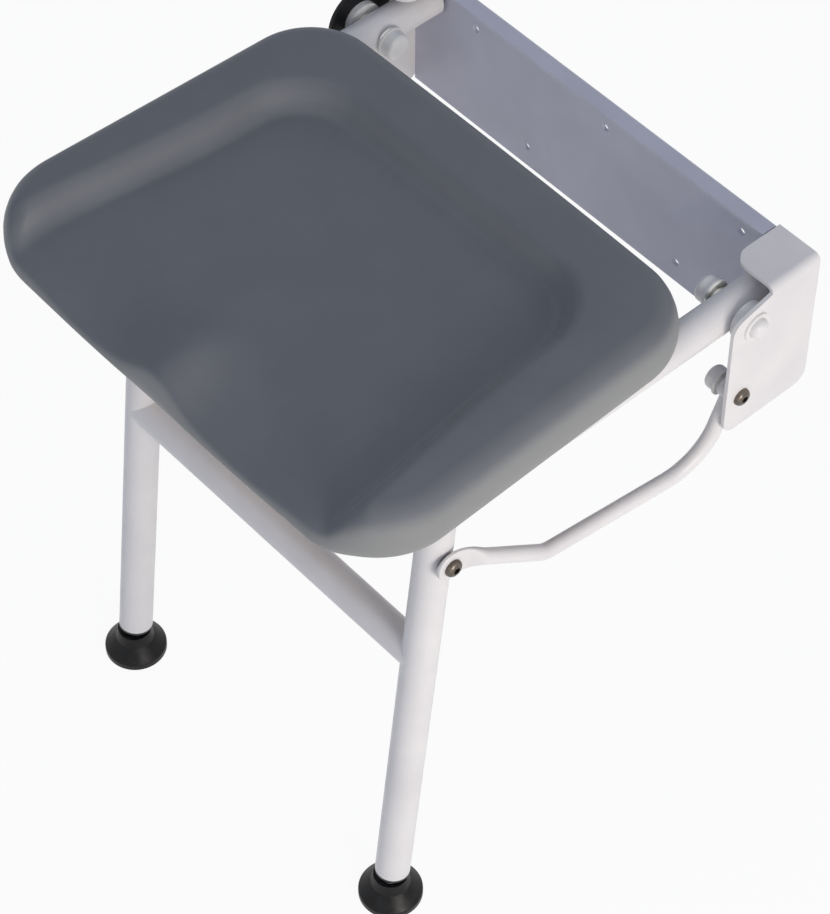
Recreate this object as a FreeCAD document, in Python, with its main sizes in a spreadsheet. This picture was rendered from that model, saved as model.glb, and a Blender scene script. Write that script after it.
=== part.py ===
import FreeCAD, Part
import Sketcher
import math
import os

# Fold down wall seat: a wall bracket carries a moulded seat on a tube frame, and a pair of legs
# swings under it. A bent strut on each side makes a parallelogram of the cheek, the seat tube and
# the leg, so the legs stay upright while the seat folds up against the wall.
# Millimetres, +X to the right of someone facing the wall, +Y into the wall, +Z up. The origin is
# the centre of the bracket's rear face. The seat is modelled folded down.

doc = FreeCAD.newDocument("FoldDownWallSeat")

# Driving dimensions
SIZES = (
    # wall bracket, folded from sheet
    ("bracket_width", 420.0),        # outer face to outer face of the cheeks
    ("bracket_height", 128.0),
    ("sheet", 3.0),
    ("sheet_bend", 6.0),             # outer radius of the bends
    ("lip_depth", 16.0),             # the plate's top edge, rolled forward
    ("lip_gap", 1.0),                # between the lip's end and the hood
    ("cheek_depth", 83.0),
    ("cheek_corner", 12.0),
    ("hood_width", 40.0),
    ("hood_corner", 14.0),
    ("hood_drop", 16.0),             # how far the cheek's front edge starts below the hood
    ("hood_play", 0.5),              # left between the hood and the upright seat tube
    ("upper_hole_pitch", 139.0),
    ("lower_hole_pitch", 160.0),
    ("upper_hole_margin", 30.0),     # from the bracket's top
    ("lower_hole_margin", 19.0),     # from the bracket's bottom
    ("wall_hole_bore", 6.5),
    # the seat's hinge
    ("hinge_from_wall", 61.0),
    ("hinge_below_top", 28.0),
    ("side_play", 0.3),              # left beside each part that turns
    ("pin_play", 0.05),              # left round each pin
    ("spacer_length", 8.0),          # cheek to seat tube
    ("spacer_od", 30.0),
    ("friction_disc_od", 58.0),      # left side only; it keeps the raised seat from dropping
    ("friction_disc", 3.0),
    ("hinge_pin", 10.0),
    ("sleeve_od", 15.0),
    ("washer_od", 23.0),
    ("washer_thick", 1.6),
    ("hinge_head_od", 16.0),
    ("hinge_head", 6.0),
    ("hinge_nut_af", 15.0),
    ("hinge_nut", 6.0),
    ("cap_wall", 1.3),
    ("cap_dome", 3.5),
    # tubes
    ("tube_od", 27.0),
    ("tube_wall", 2.0),
    ("tube_front", 300.0),           # hinge to the front end of the seat tube
    ("tube_rear", 53.0),             # hinge to its rear end, just short of the wall plate
    ("plug_flange", 2.5),
    ("plug_depth", 12.0),
    ("rear_rail_reach", 92.0),       # hinge to the rear cross rail
    ("front_rail_reach", 284.0),
    # leg frame and its linkage
    ("leg_gap", 2.0),                # seat tube to leg
    ("leg_tilt", 6.0),               # degrees, feet forward
    ("leg_length", 430.0),           # pivot to the lower end of the tube
    ("leg_top", 18.0),               # pivot to the upper end of the tube
    ("arm_reach", 242.0),            # hinge to leg pivot, level
    ("arm_drop", 22.0),              # hinge to leg pivot, down
    ("link_length", 68.5),           # hinge to strut pivot on the cheek, and the same on the leg
    ("crossbar_drop", 180.0),        # leg pivot to the crossbar
    ("lug_thick", 4.0),
    ("lug_offset", 0.5),             # lug's inner face from the tube's inner side
    ("lug_width", 26.0),
    ("lug_base", 54.0),
    ("strut_pin", 8.0),
    ("button_od", 14.0),
    ("button", 4.4),
    ("button_socket", 5.0),          # across the flats of the hexagon in the head
    ("small_washer_od", 16.0),
    ("small_nut_af", 13.0),
    ("small_nut", 5.5),
    # bent struts
    ("strut_od", 12.0),
    ("strut_drop", 63.0),            # rear pivot down to the level run
    ("strut_lead", 23.0),            # rear pivot forward to the first bend
    ("strut_run", 140.0),            # first bend to the second
    ("strut_bend", 46.0),
    ("strut_kink", 18.0),
    ("rear_eye_od", 17.0),           # cross eye at the cheek, as long as the bar is thick
    ("eye_od", 24.0),                # flattened eye at the leg
    ("eye_thick", 4.0),
    ("eye_lift", 12.0),              # the bar's middle line passes this far above the leg's pivot
    ("eye_flat", 14.0),              # bar's end to the end of the flat
    ("eye_taper", 7.0),              # flat to full round
    ("eye_bush_wall", 1.5),
    # seat pad and the board inside it
    ("pad_front_width", 430.0),
    ("pad_back_width", 409.0),
    ("pad_depth", 323.0),
    ("pad_setback", 36.0),           # hinge to the pad's back edge
    ("pad_front_corner", 60.0),
    ("pad_back_corner", 58.0),
    ("pad_thick", 46.0),             # skirt's lower edge to the rim's crest
    ("pad_skirt", 3.0),              # skirt's lower edge above the tubes' middle
    ("pad_back_skirt", 12.0),
    ("pad_rim", 22.0),               # outer side to the rim's crest
    ("pad_wall", 44.0),              # crest to the floor of the dish, level
    ("pad_dish", 20.0),              # depth of the sunken seat
    ("pad_front_fall", 12.0),        # how far the floor rolls down at the front
    ("pad_pommel", 8.0),             # rise between the thigh channels
    ("board_width", 350.0),
    ("board_length", 262.0),
    ("board_thick", 9.0),
    ("board_play", 0.3),
    ("board_screw", 6.0),
    ("board_screw_pitch", 180.0),
    ("insert_od", 9.0),
    # feet
    ("insert_flange", 2.0),
    ("insert_depth", 22.0),
    ("stem_od", 10.0),
    ("stem_length", 20.0),           # tube end to the foot's pivot
    ("barrel_od", 14.0),             # cross barrel that the foot tilts on
    ("barrel_length", 15.0),
    ("foot_od", 50.0),
    ("foot_edge", 5.0),
    ("foot_neck_od", 27.0),
    ("foot_height", 25.0),
    ("foot_pivot_height", 11.0),     # pivot above the floor
    ("foot_mouth", 20.0),            # bore at the top of the neck
    ("foot_mouth_play", 2.0),        # left beside the stem at the mouth's foot
)
dims = doc.addObject("Spreadsheet::Sheet", "Dims")
size = {}
for row, (alias, value) in enumerate(SIZES, start=1):
    dims.set("A%d" % row, alias)
    dims.set("B%d" % row, str(value))
    dims.setAlias("B%d" % row, alias)
    size[alias] = value
doc.recompute()


def d(alias):
    """The name of a driving dimension inside an expression."""
    return "Dims." + alias


# Places that many parts share
CHEEK_IN = "(Dims.bracket_width / 2 - Dims.sheet)"
TUBE_X = "(%s - Dims.spacer_length - Dims.tube_od / 2)" % CHEEK_IN
TUBE_OUT = "(%s - Dims.spacer_length)" % CHEEK_IN
TUBE_IN = "(%s - Dims.spacer_length - Dims.tube_od)" % CHEEK_IN
LEG_OUT = "(%s - Dims.leg_gap)" % TUBE_IN
LEG_X = "(%s - Dims.tube_od / 2)" % LEG_OUT
LEG_IN = "(%s - Dims.tube_od)" % LEG_OUT
LUG_IN = "(%s + Dims.lug_offset)" % TUBE_IN
TILT = "(Dims.leg_tilt * 1 deg)"
TOP = "(Dims.bracket_height / 2)"
TUBE_BORE = "(Dims.tube_od - 2 * Dims.tube_wall)"
# pivots as (y, z): the seat's hinge, the leg's pivot, and the strut's rear and front pivots
HINGE = ("(-Dims.hinge_from_wall)", "(%s - Dims.hinge_below_top)" % TOP)
LEG_PIVOT = ("(%s - Dims.arm_reach)" % HINGE[0], "(%s - Dims.arm_drop)" % HINGE[1])
STRUT_REAR = (
    "(%s - Dims.link_length * sin(%s))" % (HINGE[0], TILT),
    "(%s - Dims.link_length * cos(%s))" % (HINGE[1], TILT),
)
STRUT_FRONT = (
    "(%s - Dims.link_length * sin(%s))" % (LEG_PIVOT[0], TILT),
    "(%s - Dims.link_length * cos(%s))" % (LEG_PIVOT[1], TILT),
)

parts = {}


# Helpers
def place(obj, x="0", y="0", z="0", tilted=False):
    """Tie an object's position to the driving dimensions, leaning with the legs if asked."""
    if tilted:
        lean = FreeCAD.Rotation(FreeCAD.Vector(-1, 0, 0), size["leg_tilt"])
        obj.Placement = FreeCAD.Placement(FreeCAD.Vector(), lean)
        obj.setExpression("Placement.Rotation.Angle", TILT)
    obj.setExpression("Placement.Base.x", x)
    obj.setExpression("Placement.Base.y", y)
    obj.setExpression("Placement.Base.z", z)
    return obj


def new_body(name):
    return doc.addObject("PartDesign::Body", name)


def new_sketch(body, name, plane, offset=None):
    """A sketch on one of the body's own planes, moved along the plane's normal if asked."""
    sketch = body.newObject("Sketcher::SketchObject", name)
    for feature in body.Origin.OriginFeatures:
        if feature.Role == plane:
            sketch.AttachmentSupport = [(feature, "")]
    sketch.MapMode = "FlatFace"
    if offset:
        sketch.setExpression(".AttachmentOffset.Base.z", offset)
    return sketch


def pin_point(sketch, geo, pos, x, y):
    """Hold one point of a sketch at (x, y), given as expressions."""
    tag = "g%dp%d" % (geo, pos)
    for kind, value in (("DistanceX", x), ("DistanceY", y)):
        index = sketch.addConstraint(Sketcher.Constraint(kind, -1, 1, geo, pos, 1.0))
        sketch.renameConstraint(index, tag + kind[-1])
        sketch.setExpression("Constraints." + tag + kind[-1], value)


def polygon(sketch, corners):
    """A closed outline of straight lines through corners given as pairs of expressions."""
    count = len(corners)
    start = sketch.GeometryCount
    ring = []
    for k in range(count):
        turn = 2 * math.pi * k / count
        ring.append(FreeCAD.Vector(10 + 5 * math.cos(turn), 10 + 5 * math.sin(turn), 0))
    for k in range(count):
        sketch.addGeometry(Part.LineSegment(ring[k], ring[(k + 1) % count]), False)
    for k in range(count):
        here = start + k
        after = start + (k + 1) % count
        sketch.addConstraint(Sketcher.Constraint("Coincident", here, 2, after, 1))
    for k, (x, y) in enumerate(corners):
        pin_point(sketch, start + k, 1, x, y)


def circle(sketch, x, y, diameter):
    geo = sketch.addGeometry(Part.Circle(FreeCAD.Vector(1, 1, 0), FreeCAD.Vector(0, 0, 1), 3.0), False)
    pin_point(sketch, geo, 3, x, y)
    index = sketch.addConstraint(Sketcher.Constraint("Diameter", geo, 6.0))
    sketch.renameConstraint(index, "dia%d" % geo)
    sketch.setExpression("Constraints.dia%d" % geo, diameter)


def pad(body, sketch, length, reverse=False, middle=False):
    feature = body.newObject("PartDesign::Pad", sketch.Name + "Pad")
    feature.Profile = sketch
    feature.setExpression("Length", length)
    feature.Reversed = reverse
    if middle:
        feature.SideType = "Symmetric"
    doc.recompute()
    return feature


def pocket(body, sketch, length="1500"):
    """Cut a sketch through the body, both ways from its plane."""
    before = body.Shape.Volume
    feature = body.newObject("PartDesign::Pocket", sketch.Name + "Pocket")
    feature.Profile = sketch
    feature.SideType = "Symmetric"
    feature.setExpression("Length", length)
    doc.recompute()
    if body.Shape.Volume >= before - 1e-6:
        raise RuntimeError(sketch.Name + " cut nothing")
    return feature


def round_edges(body, radius, chosen):
    """Fillet the edges of the body's tip that the test picks out."""
    tip = body.Tip
    names = ["Edge%d" % (k + 1) for k, edge in enumerate(tip.Shape.Edges) if chosen(edge)]
    if not names:
        raise RuntimeError(body.Name + " has no such edge to round")
    feature = body.newObject("PartDesign::Fillet", "Fillet")
    feature.Base = (tip, names)
    feature.setExpression("Radius", radius)
    doc.recompute()
    if "Invalid" in feature.State:
        raise RuntimeError(body.Name + " could not be rounded")
    return feature


def turned(name, corners, x, y, z):
    """A piece turned about an axis along X: corners are (along, radius) pairs of expressions."""
    body = new_body(name)
    sketch = new_sketch(body, name + "Profile", "XY_Plane")
    polygon(sketch, corners)
    spin = body.newObject("PartDesign::Revolution", name + "Turn")
    spin.Profile = sketch
    spin.ReferenceAxis = (sketch, ["H_Axis"])
    spin.Angle = 360.0
    doc.recompute()
    return place(body, x, y, z)


def ring(name, length, outer, inner, x, y, z):
    """A washer, spacer or bush: a turned ring that starts at x and runs outward."""
    corners = (
        ("0", "%s / 2" % inner),
        (length, "%s / 2" % inner),
        (length, "%s / 2" % outer),
        ("0", "%s / 2" % outer),
    )
    return turned(name, corners, x, y, z)


def hex_nut(name, across, thick, bore, x, y, z):
    body = new_body(name)
    sketch = new_sketch(body, name + "Hex", "YZ_Plane")
    far = "%s / sqrt(3)" % across
    corners = (
        (far, "0"),
        ("%s / 2" % far, "%s / 2" % across),
        ("-%s / 2" % far, "%s / 2" % across),
        ("-%s" % far, "0"),
        ("-%s / 2" % far, "-%s / 2" % across),
        ("%s / 2" % far, "-%s / 2" % across),
    )
    polygon(sketch, corners)
    circle(sketch, "0", "0", bore)
    pad(body, sketch, thick)
    return place(body, x, y, z)


def nut_cap(name, across, depth, x, y, z):
    """A domed plastic cover that snaps over a nut: it opens toward +X and points inward."""
    body = new_body(name)
    sketch = new_sketch(body, name + "Profile", "XY_Plane")
    inner = "(%s / sqrt(3) + Dims.cap_wall / 2)" % across
    outer = "(%s + Dims.cap_wall)" % inner
    flange = "(%s + Dims.cap_wall)" % outer
    top = "(%s + Dims.cap_dome)" % depth
    corners = (
        ("0", inner),
        ("0", flange),
        ("-Dims.cap_wall", flange),
        ("-Dims.cap_wall", outer),
        ("-%s" % top, outer),
        ("-%s" % top, "0"),
        ("-(%s - Dims.cap_wall)" % top, "0"),
        ("-(%s - Dims.cap_wall)" % top, inner),
    )
    polygon(sketch, corners)
    spin = body.newObject("PartDesign::Revolution", name + "Turn")
    spin.Profile = sketch
    spin.ReferenceAxis = (sketch, ["H_Axis"])
    spin.Angle = 360.0
    doc.recompute()
    far = body.Shape.BoundBox.XMin
    wide = max(edge.Curve.Radius for edge in body.Shape.Edges
               if hasattr(edge.Curve, "Radius") and abs(edge.CenterOfMass.x - far) < 0.01)
    round_edges(body, "Dims.cap_dome", lambda edge: hasattr(edge.Curve, "Radius")
                and abs(edge.CenterOfMass.x - far) < 0.01 and abs(edge.Curve.Radius - wide) < 0.01)
    return place(body, x, y, z)


def bolt(name, pin, grip, head_od, head, x, y, z, socket=None):
    """A round-headed bolt: the shank runs from x outward by its grip, then the domed head.

    A socket, given by its width across flats, is cut into the head.
    """
    corners = (
        ("0", "0"),
        ("%s + %s" % (grip, head), "0"),
        ("%s + %s" % (grip, head), "%s / 2" % head_od),
        (grip, "%s / 2" % head_od),
        (grip, "%s / 2" % pin),
        ("0", "%s / 2" % pin),
    )
    body = turned(name, corners, x, y, z)
    far = body.Tip.Shape.BoundBox.XMax
    round_edges(body, "%s * 0.85" % head, lambda edge: hasattr(edge.Curve, "Radius")
                and abs(edge.CenterOfMass.x - far) < 0.01)
    if socket:
        drive = new_sketch(body, name + "Socket", "YZ_Plane", "%s + %s" % (grip, head))
        reach = "(%s / sqrt(3))" % socket
        polygon(drive, (
            (reach, "0"),
            ("%s / 2" % reach, "%s / 2" % socket),
            ("-%s / 2" % reach, "%s / 2" % socket),
            ("-%s" % reach, "0"),
            ("-%s / 2" % reach, "-%s / 2" % socket),
            ("%s / 2" % reach, "-%s / 2" % socket),
        ))
        pocket(body, drive, "1.2 * %s" % head)
    return body


def keep(label, obj):
    obj.Label = label
    parts[label] = obj
    return obj


def mirror(obj, name):
    """The left-hand twin of a right-hand piece."""
    twin = doc.addObject("Part::Mirroring", name)
    twin.Source = obj
    twin.Normal = FreeCAD.Vector(1, 0, 0)
    twin.Base = FreeCAD.Vector(0, 0, 0)
    return twin


def keep_pair(label, obj):
    """A right-hand piece and its twin as one node of two solids."""
    both = doc.addObject("Part::Compound", label + "_both")
    both.Links = [obj, mirror(obj, label + "_twin")]
    return keep(label, both)


def keep_sides(label, obj):
    """A right-hand piece and its twin as two nodes."""
    keep(label + "_right", obj)
    return keep(label + "_left", mirror(obj, label + "_twin"))


def straight_along(axis):
    def test(edge):
        if edge.Curve.TypeId != "Part::GeomLine":
            return False
        return abs(abs(edge.Curve.Direction.dot(axis)) - 1) < 1e-6
    return test


# Wall bracket
def wall_plate():
    """The back plate: sheet whose top edge is rolled forward into a lip, with five wall holes."""
    body = new_body("WallPlate")
    profile = new_sketch(body, "PlateProfile", "YZ_Plane")
    high = TOP
    low = "(-Dims.bracket_height / 2)"
    corners = (
        ("0", low),
        ("0", high),
        ("-Dims.lip_depth", high),
        ("-Dims.lip_depth", "%s - Dims.sheet" % high),
        ("-Dims.sheet", "%s - Dims.sheet" % high),
        ("-Dims.sheet", low),
    )
    polygon(profile, corners)
    pad(body, profile, "2 * %s" % CHEEK_IN, middle=True)
    along = straight_along(FreeCAD.Vector(1, 0, 0))
    top = size["bracket_height"] / 2
    sheet = size["sheet"]
    round_edges(body, "Dims.sheet_bend - Dims.sheet", lambda edge: along(edge)
                and abs(edge.CenterOfMass.y + sheet) < 0.01
                and abs(edge.CenterOfMass.z - top + sheet) < 0.01)
    round_edges(body, "Dims.sheet_bend", lambda edge: along(edge)
                and abs(edge.CenterOfMass.y) < 0.01 and abs(edge.CenterOfMass.z - top) < 0.01)
    notch = new_sketch(body, "LipNotch", "XZ_Plane")
    inner = "(%s - Dims.hood_width + Dims.sheet - Dims.lip_gap)" % CHEEK_IN
    floor = "(%s - Dims.sheet_bend)" % TOP
    for side in ("", "-"):
        polygon(notch, (
            ("%s%s" % (side, inner), floor),
            ("%s(%s + 1)" % (side, CHEEK_IN), floor),
            ("%s(%s + 1)" % (side, CHEEK_IN), "%s + 1" % TOP),
            ("%s%s" % (side, inner), "%s + 1" % TOP),
        ))
    pocket(body, notch)
    holes = new_sketch(body, "WallHoles", "XZ_Plane")
    upper = "%s - Dims.upper_hole_margin" % TOP
    lower = "Dims.lower_hole_margin - %s" % TOP
    for x in ("-Dims.upper_hole_pitch", "0", "Dims.upper_hole_pitch"):
        circle(holes, x, upper, d("wall_hole_bore"))
    for x in ("-Dims.lower_hole_pitch / 2", "Dims.lower_hole_pitch / 2"):
        circle(holes, x, lower, d("wall_hole_bore"))
    pocket(body, holes)
    keep("wall_plate", body)


def cheeks():
    """The side cheeks: sheet folded inward at the top into a hood, then cut to its outline."""
    body = new_body("CheekRight")
    section = new_sketch(body, "CheekSection", "XZ_Plane")
    outside = "Dims.bracket_width / 2"
    hood_in = "(Dims.bracket_width / 2 - Dims.hood_width)"
    under = "(%s - Dims.sheet)" % TOP
    polygon(section, (
        (CHEEK_IN, "-%s" % TOP),
        (outside, "-%s" % TOP),
        (outside, TOP),
        (hood_in, TOP),
        (hood_in, under),
        (CHEEK_IN, under),
    ))
    pad(body, section, d("cheek_depth"))
    top = size["bracket_height"] / 2
    wide = size["bracket_width"] / 2
    sheet = size["sheet"]
    inward = straight_along(FreeCAD.Vector(0, 1, 0))
    round_edges(body, "Dims.sheet_bend - Dims.sheet", lambda edge: inward(edge)
                and abs(edge.CenterOfMass.z - top + sheet) < 0.01
                and abs(edge.CenterOfMass.x - wide + sheet) < 0.01)
    round_edges(body, d("sheet_bend"), lambda edge: inward(edge)
                and edge.CenterOfMass.z > top - 0.01 and edge.CenterOfMass.x > wide - 0.01)
    side_cut = new_sketch(body, "CheekFrontCut", "YZ_Plane")
    hood_front = "(Dims.tube_od / 2 + Dims.hood_play - Dims.hinge_from_wall)"
    polygon(side_cut, (
        (hood_front, "%s + 1" % TOP),
        (hood_front, "%s - Dims.sheet_bend" % TOP),
        ("-Dims.cheek_depth - 1", "%s - Dims.hood_drop" % TOP),
        ("-Dims.cheek_depth - 1", "%s + 1" % TOP),
    ))
    pocket(body, side_cut)
    upright = straight_along(FreeCAD.Vector(0, 0, 1))
    round_edges(body, d("hood_corner"), lambda edge: upright(edge)
                and edge.CenterOfMass.x < wide - size["hood_width"] + 0.01
                and edge.CenterOfMass.y < -sheet)
    deep = size["cheek_depth"]
    across = straight_along(FreeCAD.Vector(1, 0, 0))
    round_edges(body, d("cheek_corner"), lambda edge: across(edge)
                and edge.CenterOfMass.x > wide - sheet
                and (edge.CenterOfMass.y < 0.01 - deep or edge.CenterOfMass.z < 1 - top))
    bores = new_sketch(body, "CheekBores", "YZ_Plane")
    circle(bores, HINGE[0], HINGE[1], "Dims.hinge_pin + 2 * Dims.pin_play")
    circle(bores, STRUT_REAR[0], STRUT_REAR[1], "Dims.strut_pin + 2 * Dims.pin_play")
    pocket(body, bores)
    keep_sides("cheek", body)


def hinge_fittings():
    """On each side, from the outside in: domed bolt, washer, cheek, spacer, tube, washer, nut, cap.

    On the left a friction disc lies between the cheek and the spacer.
    """
    y, z = HINGE
    outside = "(Dims.bracket_width / 2)"
    seat_side = "(%s - Dims.side_play)" % TUBE_IN
    nut_face = "(%s - Dims.washer_thick)" % seat_side
    tail = "(%s - Dims.hinge_nut - 1)" % nut_face
    grip = "(%s + Dims.washer_thick - %s)" % (outside, tail)
    bore = "(Dims.hinge_pin + 2 * Dims.pin_play)"
    keep_pair("hinge_bolts", bolt("HingeBolt", d("hinge_pin"), grip, d("hinge_head_od"), d("hinge_head"),
                                  tail, y, z))
    keep_pair("hinge_head_washers", ring("HingeHeadWasher", d("washer_thick"), d("washer_od"), bore,
                                         outside, y, z))
    spacer_end = "%s + Dims.side_play" % TUBE_OUT
    right = ring("HingeSpacer", "Dims.spacer_length - Dims.side_play", d("spacer_od"), bore, spacer_end, y, z)
    left = ring("HingeSpacerLeft", "Dims.spacer_length - Dims.side_play - Dims.friction_disc",
                d("spacer_od"), bore, spacer_end, y, z)
    spacers = doc.addObject("Part::Compound", "HingeSpacers")
    spacers.Links = [right, mirror(left, "HingeSpacerTwin")]
    keep("hinge_spacers", spacers)
    disc = ring("FrictionDisc", d("friction_disc"), d("friction_disc_od"), bore,
                "%s - Dims.friction_disc" % CHEEK_IN, y, z)
    # a notch round the hood's front corner keeps the disc from turning
    notch = new_sketch(disc, "HoodNotch", "YZ_Plane")
    hood_front = "(Dims.tube_od / 2 + Dims.hood_play - Dims.side_play)"
    hood_under = "(Dims.hinge_below_top - Dims.sheet_bend - Dims.side_play)"
    polygon(notch, (
        (hood_front, hood_under),
        ("Dims.friction_disc_od", hood_under),
        ("Dims.friction_disc_od", "Dims.friction_disc_od"),
        (hood_front, "Dims.friction_disc_od"),
    ))
    pocket(disc, notch)
    keep("friction_disc", mirror(disc, "FrictionDiscLeft"))
    keep_pair("hinge_nut_washers", ring("HingeNutWasher", d("washer_thick"), d("washer_od"), bore,
                                        nut_face, y, z))
    keep_pair("hinge_nuts", hex_nut("HingeNut", d("hinge_nut_af"), d("hinge_nut"), d("hinge_pin"),
                                    "%s - Dims.hinge_nut" % nut_face, y, z))
    keep_pair("hinge_nut_caps", nut_cap("HingeNutCap", d("hinge_nut_af"), "Dims.hinge_nut + 2",
                                        nut_face, y, z))


def strut_rear_fittings():
    """The bolt that holds each strut to its cheek, with its washer, nut and cap."""
    y, z = STRUT_REAR
    eye_face = "(%s - 3 * Dims.side_play - Dims.strut_od)" % CHEEK_IN
    nut_face = "(%s - Dims.washer_thick)" % eye_face
    tail = "(%s - Dims.small_nut - 1)" % nut_face
    grip = "(Dims.bracket_width / 2 - %s)" % tail
    bore = "(Dims.strut_pin + 2 * Dims.pin_play)"
    keep_pair("strut_rear_bolts", bolt("StrutRearBolt", d("strut_pin"), grip, d("button_od"),
                                       d("button"), tail, y, z, d("button_socket")))
    keep_pair("strut_rear_washers", ring("StrutRearWasher", d("washer_thick"), d("small_washer_od"),
                                         bore, nut_face, y, z))
    keep_pair("strut_rear_nuts", hex_nut("StrutRearNut", d("small_nut_af"), d("small_nut"),
                                         d("strut_pin"), "%s - Dims.small_nut" % nut_face, y, z))
    keep_pair("strut_rear_caps", nut_cap("StrutRearCap", d("small_nut_af"), "Dims.small_nut + 2",
                                         nut_face, y, z))


# Seat frame
def seat_tubes():
    body = new_body("SeatTubeRight")
    section = new_sketch(body, "SeatTubeSection", "XZ_Plane", "-Dims.tube_rear")
    circle(section, "0", "0", d("tube_od"))
    circle(section, "0", "0", TUBE_BORE)
    pad(body, section, "Dims.tube_rear + Dims.tube_front")
    bore = new_sketch(body, "SleeveBore", "YZ_Plane")
    circle(bore, "0", "0", d("sleeve_od"))
    pocket(body, bore)
    place(body, TUBE_X, HINGE[0], HINGE[1])
    keep_sides("seat_tube", body)


def hinge_sleeves():
    """Steel sleeves welded across the seat tubes, in which the hinge bolts turn."""
    body = ring("HingeSleeve", d("tube_od"), d("sleeve_od"), "(Dims.hinge_pin + 2 * Dims.pin_play)",
                TUBE_IN, HINGE[0], HINGE[1])
    keep_pair("hinge_sleeves", body)


def rail(name, reach):
    """A cross rail between the seat tubes, its ends coped to their round sides."""
    body = new_body(name)
    section = new_sketch(body, name + "Section", "YZ_Plane")
    circle(section, "0", "0", d("tube_od"))
    circle(section, "0", "0", TUBE_BORE)
    pad(body, section, "2 * %s" % TUBE_X, middle=True)
    cope = new_sketch(body, name + "Cope", "XZ_Plane")
    circle(cope, TUBE_X, "0", d("tube_od"))
    circle(cope, "-%s" % TUBE_X, "0", d("tube_od"))
    pocket(body, cope)
    screws = new_sketch(body, name + "ScrewBores", "XY_Plane")
    for side in ("", "-"):
        circle(screws, side + "Dims.board_screw_pitch / 2", "0", "Dims.board_screw + 2 * Dims.pin_play")
    pocket(body, screws)
    return place(body, "0", "%s - %s" % (HINGE[0], reach), HINGE[1])


def tube_plug(name, y, turn):
    """A push-in end cap for a seat tube: its flange covers the wall, its stub fills the bore."""
    body = new_body(name)
    sketch = new_sketch(body, name + "Profile", "YZ_Plane")
    corners = (
        ("0", "0"),
        ("-%s * Dims.plug_flange" % turn, "0"),
        ("-%s * Dims.plug_flange" % turn, "Dims.tube_od / 2"),
        ("0", "Dims.tube_od / 2"),
        ("0", "%s / 2" % TUBE_BORE),
        ("%s * Dims.plug_depth" % turn, "%s / 2" % TUBE_BORE),
        ("%s * Dims.plug_depth" % turn, "0"),
    )
    polygon(sketch, corners)
    spin = body.newObject("PartDesign::Revolution", name + "Turn")
    spin.Profile = sketch
    spin.ReferenceAxis = (sketch, ["H_Axis"])
    spin.Angle = 360.0
    doc.recompute()
    return place(body, TUBE_X, y, HINGE[1])


def tube_plugs():
    front = tube_plug("PlugFront", "%s - Dims.tube_front" % HINGE[0], "1")
    rear = tube_plug("PlugRear", "%s + Dims.tube_rear" % HINGE[0], "-1")
    group = doc.addObject("Part::Compound", "PlugGroup")
    group.Links = [front, mirror(front, "PlugFrontTwin"), rear, mirror(rear, "PlugRearTwin")]
    keep("seat_tube_plugs", group)


def leg_lugs():
    """Plates welded under the seat tubes that carry the leg pivots."""
    body = new_body("LegLug")
    outline = new_sketch(body, "LugOutline", "YZ_Plane")
    corners = (
        ("-Dims.lug_width / 2", "-Dims.lug_width / 2"),
        ("Dims.lug_width / 2", "-Dims.lug_width / 2"),
        ("Dims.lug_base / 2", "Dims.arm_drop"),
        ("-Dims.lug_base / 2", "Dims.arm_drop"),
    )
    polygon(outline, corners)
    pad(body, outline, d("lug_thick"))
    along = straight_along(FreeCAD.Vector(1, 0, 0))
    round_edges(body, "Dims.lug_width / 2 - 2", lambda edge: along(edge) and edge.CenterOfMass.z < 0)
    saddle = new_sketch(body, "LugSaddle", "XZ_Plane")
    circle(saddle, "%s - %s" % (TUBE_X, LUG_IN), "Dims.arm_drop", d("tube_od"))
    pocket(body, saddle)
    bore = new_sketch(body, "LugBore", "YZ_Plane")
    circle(bore, "0", "0", "Dims.strut_pin + 2 * Dims.pin_play")
    pocket(body, bore)
    place(body, LUG_IN, LEG_PIVOT[0], LEG_PIVOT[1])
    keep_sides("leg_lug", body)


def leg_pivot_fittings():
    """The bolt that hangs each leg on its lug: head outside, nut and cap on the leg's inner side."""
    y, z = LEG_PIVOT
    nut_face = "(%s - Dims.side_play - Dims.washer_thick)" % LEG_IN
    tail = "(%s - Dims.small_nut - 1)" % nut_face
    grip = "(%s + Dims.lug_thick - %s)" % (LUG_IN, tail)
    bore = "(Dims.strut_pin + 2 * Dims.pin_play)"
    keep_pair("leg_pivot_bolts", bolt("LegPivotBolt", d("strut_pin"), grip, d("button_od"), d("button"),
                                      tail, y, z,
                                            d("button_socket")))
    keep_pair("leg_pivot_washers", ring("LegPivotWasher", d("washer_thick"), d("small_washer_od"),
                                        bore, nut_face, y, z))
    keep_pair("leg_pivot_nuts", hex_nut("LegPivotNut", d("small_nut_af"), d("small_nut"),
                                        d("strut_pin"), "%s - Dims.small_nut" % nut_face, y, z))
    keep_pair("leg_pivot_caps", nut_cap("LegPivotCap", d("small_nut_af"), "Dims.small_nut + 2",
                                        nut_face, y, z))
    keep_pair("leg_pivot_spacers", ring("LegPivotSpacer",
                                        "%s - %s - Dims.side_play" % (LUG_IN, LEG_OUT),
                                        d("small_washer_od"), bore, "%s + Dims.side_play" % LEG_OUT,
                                        y, z))


# Legs
def leg_tubes():
    """The legs, each with two bores across it: the pivot at its own origin and the strut below."""
    body = new_body("LegTubeRight")
    section = new_sketch(body, "LegSection", "XY_Plane", "-Dims.leg_length")
    circle(section, "0", "0", d("tube_od"))
    circle(section, "0", "0", TUBE_BORE)
    pad(body, section, "Dims.leg_length + Dims.leg_top")
    bores = new_sketch(body, "LegBores", "YZ_Plane")
    circle(bores, "0", "0", "Dims.strut_pin + 2 * Dims.eye_bush_wall")
    circle(bores, "0", "-Dims.link_length", d("strut_pin"))
    pocket(body, bores)
    place(body, LEG_X, LEG_PIVOT[0], LEG_PIVOT[1], tilted=True)
    keep_sides("leg_tube", body)


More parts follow.
